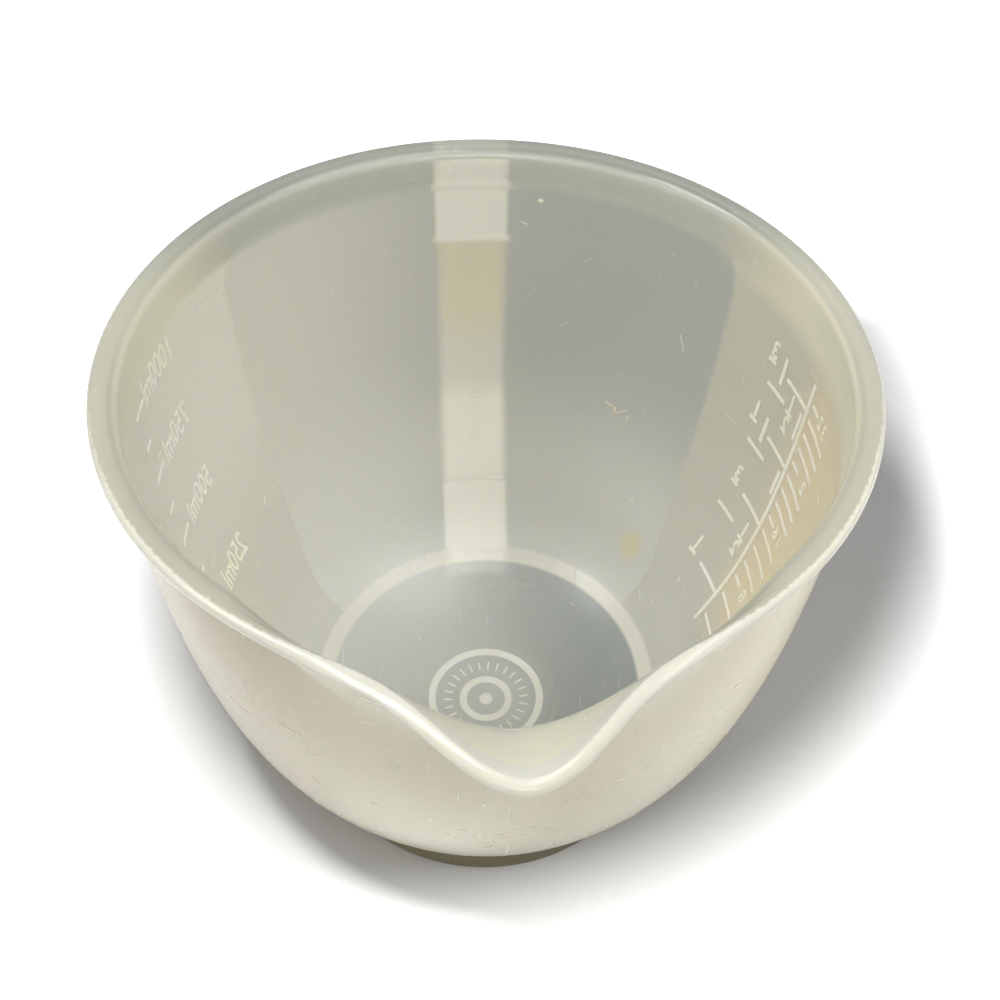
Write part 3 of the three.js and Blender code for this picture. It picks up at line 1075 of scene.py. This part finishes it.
@dataclass
class Handle(Assembly):
    """D-shaped handle with an I-section and cross ribs."""

    width: float = 17.0
    reach: float = 35.5
    top_drop: float = 9.5
    root_depth: float = 14.5
    shoulder: float = 18.0
    grip_depth: float = 12.5
    grip_top_drop: float = 40.0
    lower_root: float = 17.0
    finger_bottom: float = 31.0
    finger_round: float = 15.0
    flange: float = 2.3
    web: float = 2.6
    rib: float = 1.8
    rib_count: int = 5
    rib_shortening: float = 1.6
    rib_inset: float = 0.5
    outer_round: float = 0.9
    inner_round: float = 0.35
    fillet: float = 0.8
    stations: int = 96
    front_stops: tuple[float, ...] = (0.0, 0.35, 0.7)
    flange_stop: float = 0.6
    web_stop: float = 0.38
    hollow_columns: int = 240
    hollow_rise: float = 12.0
    dish_rows: int = 12
    skin_step: int = 6

    def sides(self, shares: Rows) -> tuple[Rows, Rows]:
        """Places points on the back and on the finger side, from the upper root down."""
        wall = SIZES.inner_top_radius
        outer = wall + SIZES.wall_thickness + self.reach
        top = SIZES.jug_height - self.top_drop
        grip = SIZES.jug_height - self.grip_top_drop
        low, turn = self.lower_root, self.shoulder
        upper = [(wall, top), (outer - turn, top - turn / 6), (outer, top - turn / 2), (outer, grip)]
        lower = [
            (outer, grip),
            (outer, (grip + low) / 2),
            (outer - turn, low + turn / 2),
            (SIZES.disc_radius, low),
        ]
        back = np.concatenate([bezier(upper), bezier(lower)[1:]])
        inner = outer - self.grip_depth
        top = top - self.root_depth
        low, turn = self.finger_bottom, self.finger_round
        middle = (top + low) / 2
        root = float(self.wall.radius_at(low))
        lower = [(root, low), (inner - turn, low + turn / 2), (inner, low + turn), (inner, middle)]
        upper = [(inner, middle), (inner, top - turn / 2), (inner - turn / 2, top), (wall, top)]
        finger = np.concatenate([bezier(lower), bezier(upper)[1:]])[::-1]
        return at_lengths(back, shares), at_lengths(finger, shares)

    def section(self, length: float) -> Rows:
        """Draws the I-section at one place along the strap.

        Args:
            length: Distance from the back to the finger side.

        Returns:
            Rows of distance from the back and distance across, all the way round.
        """
        half, web, flange = self.width / 2, self.web / 2, self.flange
        big, small, fillet = self.outer_round, self.inner_round, self.fillet
        front = [(0.0, half * k) for k in self.front_stops]
        front += [(big - big * math.cos(a), half - big + big * math.sin(a)) for a in CORNER_ARC]
        front += [
            (flange - small + small * math.sin(a), half - small + small * math.cos(a))
            for a in CORNER_ARC[::2]
        ]
        front += [(flange, half * self.flange_stop)]
        front += [
            (flange + fillet - fillet * math.cos(a), web + fillet - fillet * math.sin(a))
            for a in CORNER_ARC
        ]
        front += [(length * self.web_stop, web)]
        one_side = front + [(length - u, v) for u, v in reversed(front)]
        other_side = [(u, -v) for u, v in reversed(one_side[1:-1])]
        return np.array(one_side + other_side)

    def strap(self) -> Thing:
        """Lofts the I-section along the strap and closes its ends."""
        rows = []
        for start, end in zip(*self.sides(np.linspace(0.0, 1.0, self.stations))):
            length = float(np.linalg.norm(end - start))
            line = self.section(length)
            side = start + (end - start) * (line[:, :1] / length)
            rows.append(np.stack([line[:, 1], side[:, 0], side[:, 1]], axis=1))
        strap = tube("handle_strap", rows)
        strap.data.materials.append(self.finish)
        return strap

    def ribs(self) -> Thing:
        """Makes the cross ribs, each square to the strap."""
        shares = np.arange(1, self.rib_count + 1) / (self.rib_count + 1)
        bars = []
        for start, end in zip(*self.sides(shares)):
            middle = (start + end) / 2
            run = end - start
            length = float(np.linalg.norm(run)) - self.rib_shortening
            size = (self.width - self.rib_inset, length, self.rib)
            turn = (math.atan2(run[1], run[0]), 0.0, 0.0)
            bars.append(Bar((0.0, float(middle[0]), float(middle[1])), size, turn))
        return settled(self.shop.bars("cross_ribs", bars, 2, self.finish))

    def hollow(self) -> Thing:
        """Makes the space inside the middle of the wall, which trims the handle's roots."""
        depth = SIZES.wall_thickness / 2
        line = np.concatenate([self.wall.corner_line, self.wall.wall_line[1:]])
        run = np.gradient(line, axis=0)
        run /= np.linalg.norm(run, axis=1)[:, None]
        skin = line + np.stack([run[:, 1], -run[:, 0]], axis=1) * depth
        radii = np.linspace(0.0, skin[0, 0], self.dish_rows)[1:-1]
        dish = np.stack([radii, self.wall.dish_height(radii) - depth], axis=1)
        top = np.array([(skin[-1, 0], SIZES.jug_height + self.hollow_rise)])
        turns = turns_of(self.hollow_columns)
        rows = [
            np.stack([r * np.sin(turns), r * np.cos(turns), turns * 0 + z], axis=1)
            for r, z in np.concatenate([dish, skin[:: self.skin_step], skin[-1:], top])
        ]
        return tube("hollow", rows)

    def build(self) -> Thing:
        """Makes the handle, trimmed inside the bowl's wall."""
        return combine(combine(self.strap(), self.ribs(), "UNION"), self.hollow(), "DIFFERENCE")


@dataclass
class FootRing(Assembly):
    """Flared ring that the jug stands on."""

    edge_round: float = 0.7
    sink: float = 1.0
    steps: int = 250
    bore_height: float = 11.0
    bore_stops: tuple[float, ...] = (0.3, 0.7)
    flare_height: float = 12.5
    flare_curve: float = 0.8
    flare_stops: tuple[float, ...] = (0.2, 0.45, 0.75)

    def seat(self, radius: float) -> float:
        """Gives a height inside the floor's sheet, above its underside."""
        sphere = SIZES.dish_radius + SIZES.floor_thickness
        return SIZES.dish_centre - math.sqrt(sphere**2 - radius**2) + self.sink

    def build(self) -> Thing:
        """Sweeps the ring's section, with rounded edges at the table, round the axis."""
        outer, root = SIZES.foot_radius, SIZES.foot_root_radius
        root_inner = root - SIZES.foot_root_width
        bore = outer - SIZES.foot_width
        size = self.edge_round
        points = [(root_inner, self.seat(root_inner))]
        points += [
            (root_inner + (bore - root_inner) * k, self.bore_height * (1 - k) + size)
            for k in self.bore_stops
        ]
        points += [
            (bore + size - size * math.cos(a), size - size * math.sin(a)) for a in CORNER_ARC
        ]
        points += [
            (outer - size + size * math.sin(a), size - size * math.cos(a)) for a in CORNER_ARC
        ]
        points += [
            (outer - (outer - root) * k**self.flare_curve, size + self.flare_height * k)
            for k in self.flare_stops
        ]
        points += [(root, self.seat(root))]
        return self.shop.sweep("foot_band", np.array(points), self.steps, self.finish)


@dataclass
class JugBody(Assembly):
    """Whole moulding: bowl, handle and foot ring grown together."""

    sharp_angle: float = 38.0

    def build(self, reliefs: list[Thing]) -> Thing:
        """Makes the moulding as one closed piece and puts it in the place of its solids.

        Args:
            reliefs: Raised marks that grow out of the wall. They are used up.

        Returns:
            The moulding.
        """
        bowl = Bowl(self.shop, self.finish).build()
        handle = Handle(self.shop, self.finish).build()
        foot = FootRing(self.shop, self.finish).build()
        for grown in (handle, foot, *reliefs):
            outside = np.zeros(len(grown.data.vertices))
            carry(grown, outside, outside)
            bowl = combine(bowl, grown, "UNION")
        bowl.name = "jug_moulding"
        bowl.data.shade_smooth()
        bowl.data.set_sharp_from_angle(angle=math.radians(self.sharp_angle))
        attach(bowl, "root")
        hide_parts("bowl", "handle", "foot_ring")
        log.info("jug_moulding: %d faces", len(bowl.data.polygons))
        return bowl


@dataclass(frozen=True)
class Label:
    """Figures on the scale, with their place on the sheet."""

    words: str
    across: float
    up: float
    size: float
    weight: float
    narrow: float = 0.8
    depth: float = 0.94

    def build(self) -> Thing:
        """Makes the figures as a flat mesh on the sheet, in the middle of its unit depth."""
        curve = bpy.data.curves.new("number", "FONT")
        curve.body = self.words
        curve.size = self.size
        curve.extrude = 0.5
        curve.offset = self.weight
        curve.resolution_u = 4
        curve.align_x = curve.align_y = "CENTER"
        piece = baked(added("number", curve), "number_mesh")
        with opened(piece.data) as work:
            bmesh.ops.remove_doubles(work, verts=work.verts, dist=WELD)
        points = points_of(piece) * np.array([self.narrow, 1.0, self.depth])
        set_points(piece, points + np.array([self.across, self.up, 0.5]))
        return piece


@dataclass
class Scale(Assembly):
    """Raised numbers and lines that grow out of the wall."""

    name: str
    azimuth: float
    cuts: int
    crossing: bool
    line_width: float = 0.95

    def line(self, run: tuple[float, float], up: float, width: float = 1.0) -> Bar:
        """Lists a level line by its middle and length, its height and its share of the width."""
        across, length = run
        return Bar((across, up, 0.5), (length, self.line_width * width, 1.0))

    def lines(self) -> list[Bar]:
        """Lists the lines on the sheet."""
        raise NotImplementedError

    def labels(self) -> list[Label]:
        """Lists the figures on the sheet."""
        raise NotImplementedError

    def build(self) -> Thing:
        """Makes the scale as one piece on the wall."""
        figures = [label.build() for label in self.labels()]
        bars = self.shop.bars(f"{self.name}_lines", self.lines(), self.cuts, self.finish)
        figures = joined(f"{self.name}_numbers", figures, self.finish)
        scale = combine(bars, figures, "UNION", self.crossing)
        self.shop.wrap(scale, Reach.THROUGH, self.azimuth)
        log.info("%s_scale: %d faces", self.name, len(scale.data.polygons))
        return scale


@dataclass
class MillilitreScale(Scale):
    """Scale on the left wall: a number and a line for each quarter of a litre."""

    name: str = "millilitre"
    azimuth: float = -77.0
    cuts: int = 9
    crossing: bool = True
    heights: tuple[float, ...] = (49.1, 71.4, 90.0, 107.0)
    step: int = 250
    type: tuple[float, ...] = (8.6, 0.12, 0.62)
    long_line: tuple[float, float] = (11.5, 6.0)
    short_line: tuple[float, float] = (12.5, 3.5)

    def labels(self) -> list[Label]:
        """Lists the numbers of millilitres."""
        return [
            Label(f"{self.step * k}ml", 0.0, up, *self.type)
            for k, up in enumerate(self.heights, 1)
        ]

    def lines(self) -> list[Bar]:
        """Lists the lines of the numbers and the short ones between them."""
        pairs = zip(self.heights, self.heights[1:])
        bars = [self.line(self.long_line, up) for up in self.heights]
        return bars + [self.line(self.short_line, (low + high) / 2, THIN) for low, high in pairs]


@dataclass
class PintScale(Scale):
    """Scale on the right wall: a spine with lines for pints and fluid ounces."""

    name: str = "pint"
    azimuth: float = 84.0
    cuts: int = 25
    crossing: bool = False
    spine: tuple[float, float] = (26.5, 105.0)
    even_rows: tuple[float, ...] = (38.3, 62.2, 80.5, 97.6)
    odd_rows: tuple[float, ...] = (54.2, 74.8, 91.9)
    ounce_rows: tuple[float, ...] = (
        33.2, 40.9, 47.2, 52.0, 57.4, 62.9, 67.4, 71.9, 76.2, 80.4, 84.6, 88.8, 92.8, 96.8, 100.8,
    )
    ounce_words: dict[float, str] = field(
        default_factory=lambda: {47.2: "8", 67.4: "16", 84.6: "2 ", 100.8: "32"}
    )
    even_words: tuple[str, ...] = (" 1 ", " 3 ", "11 ", "13 ")
    odd_words: tuple[str, ...] = (" 12", "1  ", "112")
    even_line: tuple[float, float] = (5.3, 9.6)
    odd_line: tuple[float, float] = (12.2, 7.4)
    even_across: float = 14.2
    odd_across: float = 3.9
    odd_drop: float = 0.6
    ounce_start: float = -1.6
    numbered_length: float = 3.6
    ounce_length: float = 8.0
    ounce_growth: float = 0.03
    shift: float = 2.2
    rises: tuple[float, float] = (2.7, -3.3)
    dash_rise: float = 0.6
    whole_type: tuple[float, ...] = (10.0, 0.16)
    part_type: tuple[float, ...] = (6.2, 0.15)
    dash_type: tuple[float, ...] = (8.0, 0.1, 1.3, 0.98)
    digit_type: tuple[float, ...] = (5.2, 0.05)
    digit_across: float = -8.2
    digit_step: float = 2.8

    def lines(self) -> list[Bar]:
        """Lists the spine and the lines on both sides of it."""
        low, high = self.spine
        size = (high - low, self.line_width, 1.0)
        bars = [Bar((0.0, (low + high) / 2, 0.5), size, (0, 0, math.pi / 2))]
        bars += [self.line(self.even_line, up) for up in self.even_rows]
        bars += [self.line(self.odd_line, up) for up in self.odd_rows]
        for up in self.ounce_rows:
            length = self.ounce_length + up * self.ounce_growth
            if up in self.ounce_words:
                length = self.numbered_length
            bars.append(self.line((self.ounce_start - length / 2, length), up, THIN))
        return bars

    def fraction(self, words: str, across: float, up: float) -> list[Label]:
        """Lists the figures of a number of pints.

        Args:
            words: Whole number, upper figure and lower figure, with a space for none.
            across: Middle of the fraction.
            up: Its height on the sheet.

        Returns:
            The figures and the dash between the upper and the lower one.
        """
        whole, top, bottom = words
        labels = []
        if whole != " ":
            labels.append(Label(whole, across - self.shift, up, *self.whole_type))
            across = across + self.shift
        for word, rise in zip((top, bottom), self.rises):
            if word != " ":
                labels.append(Label(word, across, up + rise, *self.part_type))
        if top != " ":
            labels.append(Label("-", across, up + self.dash_rise, *self.dash_type))
        return labels

    def labels(self) -> list[Label]:
        """Lists the pints by fractions and the ounces by single figures."""
        labels = []
        for words, up in zip(self.even_words, self.even_rows):
            labels += self.fraction(words, self.even_across, up)
        for words, up in zip(self.odd_words, self.odd_rows):
            labels += self.fraction(words, self.odd_across, up - self.odd_drop)
        for up, words in self.ounce_words.items():
            start = self.digit_across - self.digit_step / 2 * (len(words) - 1)
            for k, digit in enumerate(words):
                if digit != " ":
                    labels.append(Label(digit, start + self.digit_step * k, up, *self.digit_type))
        return labels


@dataclass
class Scuffs(Assembly):
    """Scratches and nicks from years of use, on one face of the wall.

    Each stroke has its azimuth, its height, its length, its turn in radians and its width.
    """

    name: str
    reach: Reach
    strokes: tuple[tuple[float, ...], ...]
    stray_count: int
    stray_azimuths: tuple[float, float]
    stray_heights: tuple[float, float]
    seed: int
    stray_lengths: tuple[float, float] = (0.4, 2.6)
    stray_turns: tuple[float, float] = (-1.4, 1.4)
    stray_widths: tuple[float, float] = (0.08, 0.19)
    sheet_azimuth: float = 180.0

    def strays(self) -> list[tuple[float, ...]]:
        """Draws short random strokes with a fixed seed."""
        dice = np.random.default_rng(self.seed)
        places = (self.stray_azimuths, self.stray_heights)
        ranges = (*places, self.stray_lengths, self.stray_turns, self.stray_widths)
        return [
            tuple(float(dice.uniform(low, high)) for low, high in ranges)
            for _ in range(self.stray_count)
        ]

    def build(self) -> Thing:
        """Makes the strokes as one piece on the wall."""
        bars = []
        for azimuth, height, length, turn, width in [*self.strokes, *self.strays()]:
            radius = float(self.wall.radius_at(np.array(height)))
            across = -math.radians(azimuth - self.sheet_azimuth) * radius
            bars.append(Bar((across, height, 0.5), (length, width, 1.0), (0.0, 0.0, turn)))
        piece = self.shop.bars(self.name, bars, 7, self.finish)
        self.shop.wrap(piece, self.reach, self.sheet_azimuth)
        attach(piece, "root")
        log.info("%s: %d strokes", self.name, len(bars))
        return piece


@dataclass
class FloorRings(Assembly):
    """Two raised rings, a pip and short rays in the middle of the floor."""

    radii: tuple[float, ...] = (5.7, 13.5)
    band: float = 2.0
    proud: float = 0.28
    rooted: float = 0.06
    under: float = 0.35
    ring_steps: int = 96
    pip_radius: float = 1.9
    pip_root: float = 0.3
    pip_rise: float = 0.45
    pip_columns: int = 32
    pip_rows: int = 6
    ray_count: int = 26
    ray_radius: float = 9.6
    ray_drop: float = 0.05
    ray_size: Triple = (2.2, 0.45, 0.28)

    def ring_outline(self, radius: float) -> Rows:
        """Draws a low rounded band that follows the dish."""
        offsets = np.linspace(-0.5, 0.5, 9)
        top = np.stack([radius + offsets * self.band, offsets], axis=1)
        lift = self.proud * np.sqrt(np.clip(1 - (2 * offsets) ** 4, 0, 1))
        top[:, 1] = self.wall.dish_height(top[:, 0]) + lift - self.rooted
        under = top[::-1][1:-1].copy()
        under[:, 1] = self.wall.dish_height(under[:, 0]) - self.under
        return np.concatenate([top, under])

    def rays(self) -> Thing:
        """Makes the short rays between the rings."""
        radius = self.ray_radius
        height = float(self.wall.dish_height(np.array(radius))) - self.ray_drop
        tilt = -math.asin(radius / SIZES.dish_radius)
        bars = []
        for k in range(self.ray_count):
            turn = 2 * math.pi * k / self.ray_count
            middle = (radius * math.cos(turn), radius * math.sin(turn), height)
            bars.append(Bar(middle, self.ray_size, (0.0, tilt, turn)))
        return settled(self.shop.bars("rays", bars, 2, self.finish))

    def pip(self) -> Thing:
        """Makes the low dome in the middle."""
        columns, rows = self.pip_columns, self.pip_rows
        turns = turns_of(columns)
        base = SIZES.dish_centre - SIZES.dish_radius
        points = []
        for k in range(rows):
            tilt = k / rows * math.pi / 2
            radius = self.pip_radius * math.cos(tilt)
            up = base - self.pip_root + (self.pip_root + self.pip_rise) * math.sin(tilt)
            around = [radius * np.cos(turns), radius * np.sin(turns), turns * 0 + up]
            points.append(np.stack(around, axis=1))
        cloud = np.concatenate([*points, np.array([(0.0, 0.0, base + self.pip_rise)])])
        faces = grid_faces(rows, columns) + [tuple(range(columns))]
        last = (rows - 1) * columns
        faces += [(last + j, last + (j + 1) % columns, rows * columns) for j in range(columns)]
        return make_piece("pip", cloud, faces)

    def build(self) -> Thing:
        """Makes the rings, the rays and the pip as one piece."""
        pieces = [
            self.shop.sweep(f"ring_{k}", self.ring_outline(radius), self.ring_steps, self.finish)
            for k, radius in enumerate(self.radii)
        ]
        piece = joined("floor_rings", [*pieces, self.rays(), self.pip()], self.finish)
        log.info("floor_rings: %d faces", len(piece.data.polygons))
        return piece


@dataclass(frozen=True)
class Sun:
    """A soft light that falls evenly on one group.

    The level is the share of white that it gives a level surface. It comes from a direction
    and fills an angle in degrees.
    """

    name: str
    level: float
    source: Triple
    softness: float
    group: str = "lit_jug"


@dataclass(frozen=True)
class Panel:
    """An area lamp: its shape and sizes, its power, its place and what it is turned to."""

    name: str
    shape: str
    sizes: tuple[float, float]
    power: float
    place: Triple
    aim: Triple
    group: str


@dataclass
class Studio:
    """Plain pale floor, soft light and the camera of the photograph."""

    suns: tuple[Sun, ...] = (
        Sun("jug_light", 0.43, (0.45, -0.34, 1.0), 40.0),
        Sun("fill_light", 0.31, (0.0, -0.5, 1.0), 150.0),
        Sun("side_light", 0.33, (-0.8, -0.08, 1.0), 25.0),
        Sun("floor_light", 0.20, (0.0, -0.45, 1.0), 20.0, "lit_floor"),
    )
    shade: Panel = Panel(
        "shade_light", "DISK", (0.036, 0.036), 1.08, (-0.050, -0.104, 0.34), (0.02, 0, 0), "lit_floor"
    )
    strip: Panel = Panel(
        "strip_light", "RECTANGLE", (0.9, 0.02), 6.0, (0.0, -1.2, 0.55), (0, 0.05, 0.11), "lit_jug"
    )
    floor_half: float = 3000.0
    floor_tone: Colour = (0.94, 0.94, 0.94)
    floor_bounce: Colour = (0.76, 0.75, 0.72)
    world_level: float = 0.18
    glow_rounds: tuple[Quad, ...] = ((-0.020, 0.107, 0.152, 0.188), (0.040, 0.045, 0.128, 0.156))
    camera_distance: float = 172.66
    camera_height: float = 275.68
    camera_turn: float = 4.0
    pitch: float = 0.842
    yaw: float = 0.048
    roll: float = 0.050
    focal: float = 1.25
    sensor: float = 36.0
    centre_x: float = 0.5286
    clip: tuple[float, float] = (0.01, 50.0)

    def world(self) -> None:
        """Makes the surroundings: a plain level of light and a white background."""
        world = bpy.data.worlds.new("studio_world")
        bpy.context.scene.world = world
        world.use_nodes = True
        tree = world.node_tree
        tree.nodes.clear()
        soft = add_node(tree, "ShaderNodeBackground", {"Strength": self.world_level})
        white = add_node(tree, "ShaderNodeBackground", {"Color": WHITE, "Strength": 1.0})
        inputs = {0: self.seen(tree), 1: soft.outputs[0], 2: white.outputs[0]}
        mixer = add_node(tree, "ShaderNodeMixShader", inputs)
        add_node(tree, "ShaderNodeOutputWorld", {"Surface": mixer.outputs[0]})

    def seen(self, tree: Tree) -> Signal:
        """Gives 1 for rays that carry the background to the eye."""
        path = add_node(tree, "ShaderNodeLightPath").outputs
        camera = Signal(tree, path["Is Camera Ray"])
        mirrored = camera.math("MAXIMUM", path["Is Glossy Ray"])
        return mirrored.math("MAXIMUM", path["Is Transmission Ray"])

    def floor(self) -> Thing:
        """Makes the pale floor, which keeps the jug's shadow."""
        signs = ((-1, -1), (1, -1), (1, 1), (-1, 1))
        corners = np.array([(x * self.floor_half, y * self.floor_half, 0) for x, y in signs])
        floor = make_piece("studio_floor", corners, [(0, 1, 2, 3)])
        shader = Shader("pale_floor")
        seen = self.seen(shader.tree)
        away: Signal | float = 0.0
        for across, back, start, full in self.glow_rounds:
            ends = {0: shader.place, 1: (across, back, 0.0)}
            gap = shader.signal("ShaderNodeVectorMath", ends, "Value", operation="DISTANCE")
            away = gap.rise(start, full).math("MAXIMUM", away)
        shader.set(
            {
                "Base Color": seen.blend(self.floor_bounce, self.floor_tone),
                "Roughness": 0.9,
                "Specular IOR Level": 0.0,
                "Emission Color": WHITE,
                "Emission Strength": away * seen,
            }
        )
        floor.data.materials.append(shader.material)
        return floor

    def lamp(self, name: str, kind: str, back: Vector, group: str, **settings: object) -> Thing:
        """Adds a lamp.

        Args:
            name: Name of the lamp.
            kind: SUN or AREA.
            back: Direction from what it lights to the lamp.
            group: Collection of the objects that it lights.
            **settings: Properties of the light.

        Returns:
            The lamp.
        """
        data = bpy.data.lights.new(name, kind)
        for label, value in settings.items():
            setattr(data, label, value)
        lamp = added(name, data)
        lamp.rotation_euler = back.to_track_quat("Z", "Y").to_euler()
        lamp.light_linking.receiver_collection = bpy.data.collections[group]
        return lamp

    def area(self, panel: Panel) -> Thing:
        """Adds an area lamp."""
        place = Vector(panel.place)
        size, size_y = panel.sizes
        shape = {"shape": panel.shape, "size": size, "size_y": size_y, "energy": panel.power}
        lamp = self.lamp(panel.name, "AREA", place - Vector(panel.aim), panel.group, **shape)
        lamp.location = place
        return lamp

    def lamps(self, pieces: list[Thing], floor: Thing) -> None:
        """Lights the jug from one side and the floor, with its shadow, from the other."""
        for name, members in (("lit_jug", pieces), ("lit_floor", [floor])):
            group = bpy.data.collections.new(name)
            for member in members:
                group.objects.link(member)
        for sun in self.suns:
            back = Vector(sun.source).normalized()
            energy = math.pi * sun.level / back.z
            angle = math.radians(sun.softness)
            self.lamp(sun.name, "SUN", back, sun.group, energy=energy, angle=angle)
        self.area(self.shade)
        strip = self.area(self.strip)
        strip.visible_diffuse = False
        strip.visible_transmission = False

    def camera(self) -> None:
        """Sets the camera where the photograph was taken from."""
        data = bpy.data.cameras.new("camera")
        data.sensor_width = self.sensor
        data.lens = self.focal * self.sensor
        data.shift_x = 0.5 - self.centre_x
        data.clip_start, data.clip_end = self.clip
        back = Matrix.Rotation(-math.radians(self.camera_turn), 3, "Z")
        level_part = math.cos(self.pitch)
        east, north = math.sin(self.yaw) * level_part, math.cos(self.yaw) * level_part
        ahead = Vector((east, north, -math.sin(self.pitch)))
        right = ahead.cross(Vector((0, 0, 1))).normalized()
        up = right.cross(ahead)
        rolled_right = right * math.cos(self.roll) + up * math.sin(self.roll)
        rolled_up = up * math.cos(self.roll) - right * math.sin(self.roll)
        axes = [back @ axis for axis in (rolled_right, rolled_up, -ahead)]
        spot = back @ Vector((0.0, -self.camera_distance, self.camera_height))
        spot.y += SIZES.axis_offset
        camera = added("camera", data)
        turn = Matrix(axes).transposed().to_4x4()
        camera.matrix_world = Matrix.Translation(spot * MM) @ turn
        bpy.context.scene.camera = camera

    def build(self, pieces: list[Thing]) -> None:
        """Sets up everything that isn't part of the jug, round the jug's pieces."""
        self.world()
        self.lamps(pieces, self.floor())
        self.camera()
        bpy.context.scene.view_settings.view_transform = "Standard"


def inner_scuffs(shop: Workshop, finish: Finish) -> Thing:
    """Makes the scuffs inside the bowl."""
    strokes = (
        (32.9, 58.3, 2.6, 0.3, 0.35),
        (34.6, 57.4, 1.8, 1.0, 0.45),
        (36.4, 57.6, 2.2, -0.9, 0.35),
        (38.2, 56.6, 1.5, 1.3, 0.3),
        (13.3, 110.0, 1.1, 0.6, 1.0),
        (1.6, 54.4, 5.2, 0.05, 0.45),
        (6.1, 32.0, 3.6, 0.0, 0.45),
        (-30.0, 92.0, 4.0, 1.2, 0.18),
        (47.0, 84.0, 5.0, 1.0, 0.18),
    )
    strays = (14, (-95.0, 95.0), (30.0, 104.0), 7)
    return Scuffs(shop, finish, "inner_scuffs", Reach.INSIDE, strokes, *strays).build()


def outer_scuffs(shop: Workshop, finish: Finish) -> Thing:
    """Makes the scuffs on the outside and the mould line under the spout."""
    strokes = (
        (180.2, 72.0, 9.0, 1.57, 0.3),
        (179.6, 50.0, 18.0, 1.57, 0.35),
        (179.8, 59.5, 2.4, 0.0, 0.4),
        (180.3, 57.0, 1.6, 0.1, 0.4),
        (168.0, 76.0, 3.4, 0.2, 0.4),
        (163.0, 77.5, 2.4, -0.3, 0.35),
        (158.0, 78.0, 2.2, 1.2, 0.4),
        (150.0, 84.0, 3.0, -0.8, 0.4),
        (147.0, 74.0, 1.0, 0.8, 0.6),
        (144.0, 92.0, 1.0, 0.8, 0.6),
        (-176.0, 76.0, 0.8, 0.8, 0.6),
        (-172.5, 62.0, 0.8, 0.8, 0.6),
    )
    strays = (44, (100.0, 240.0), (34.0, 104.0), 11)
    return Scuffs(shop, finish, "outer_scuffs", Reach.OUTSIDE, strokes, *strays).build()


def main() -> None:
    """Builds the jug and its studio in order."""
    logging.basicConfig(level=logging.INFO, format="%(name)s: %(message)s")
    shop = Workshop()
    plastic = MilkyPlastic().build()
    relief = MarkPlastic("frosted_relief", (0.995, 0.985, 0.93), (0.99, 0.955, 0.87)).build()
    scuff = MarkPlastic("scuffed_plastic", (0.99, 0.98, 0.93), (0.95, 0.91, 0.81), 0.6, 0.0).build()
    rings = MarkPlastic("frosted_rings", (0.94, 0.94, 0.90), (0.90, 0.90, 0.85)).build()
    reliefs = [
        MillilitreScale(shop, relief).build(),
        PintScale(shop, relief).build(),
        FloorRings(shop, rings).build(),
    ]
    pieces = [
        JugBody(shop, plastic).build(reliefs),
        inner_scuffs(shop, scuff),
        outer_scuffs(shop, scuff),
    ]
    Studio().build(pieces)


if __name__ == "__main__":
    main()
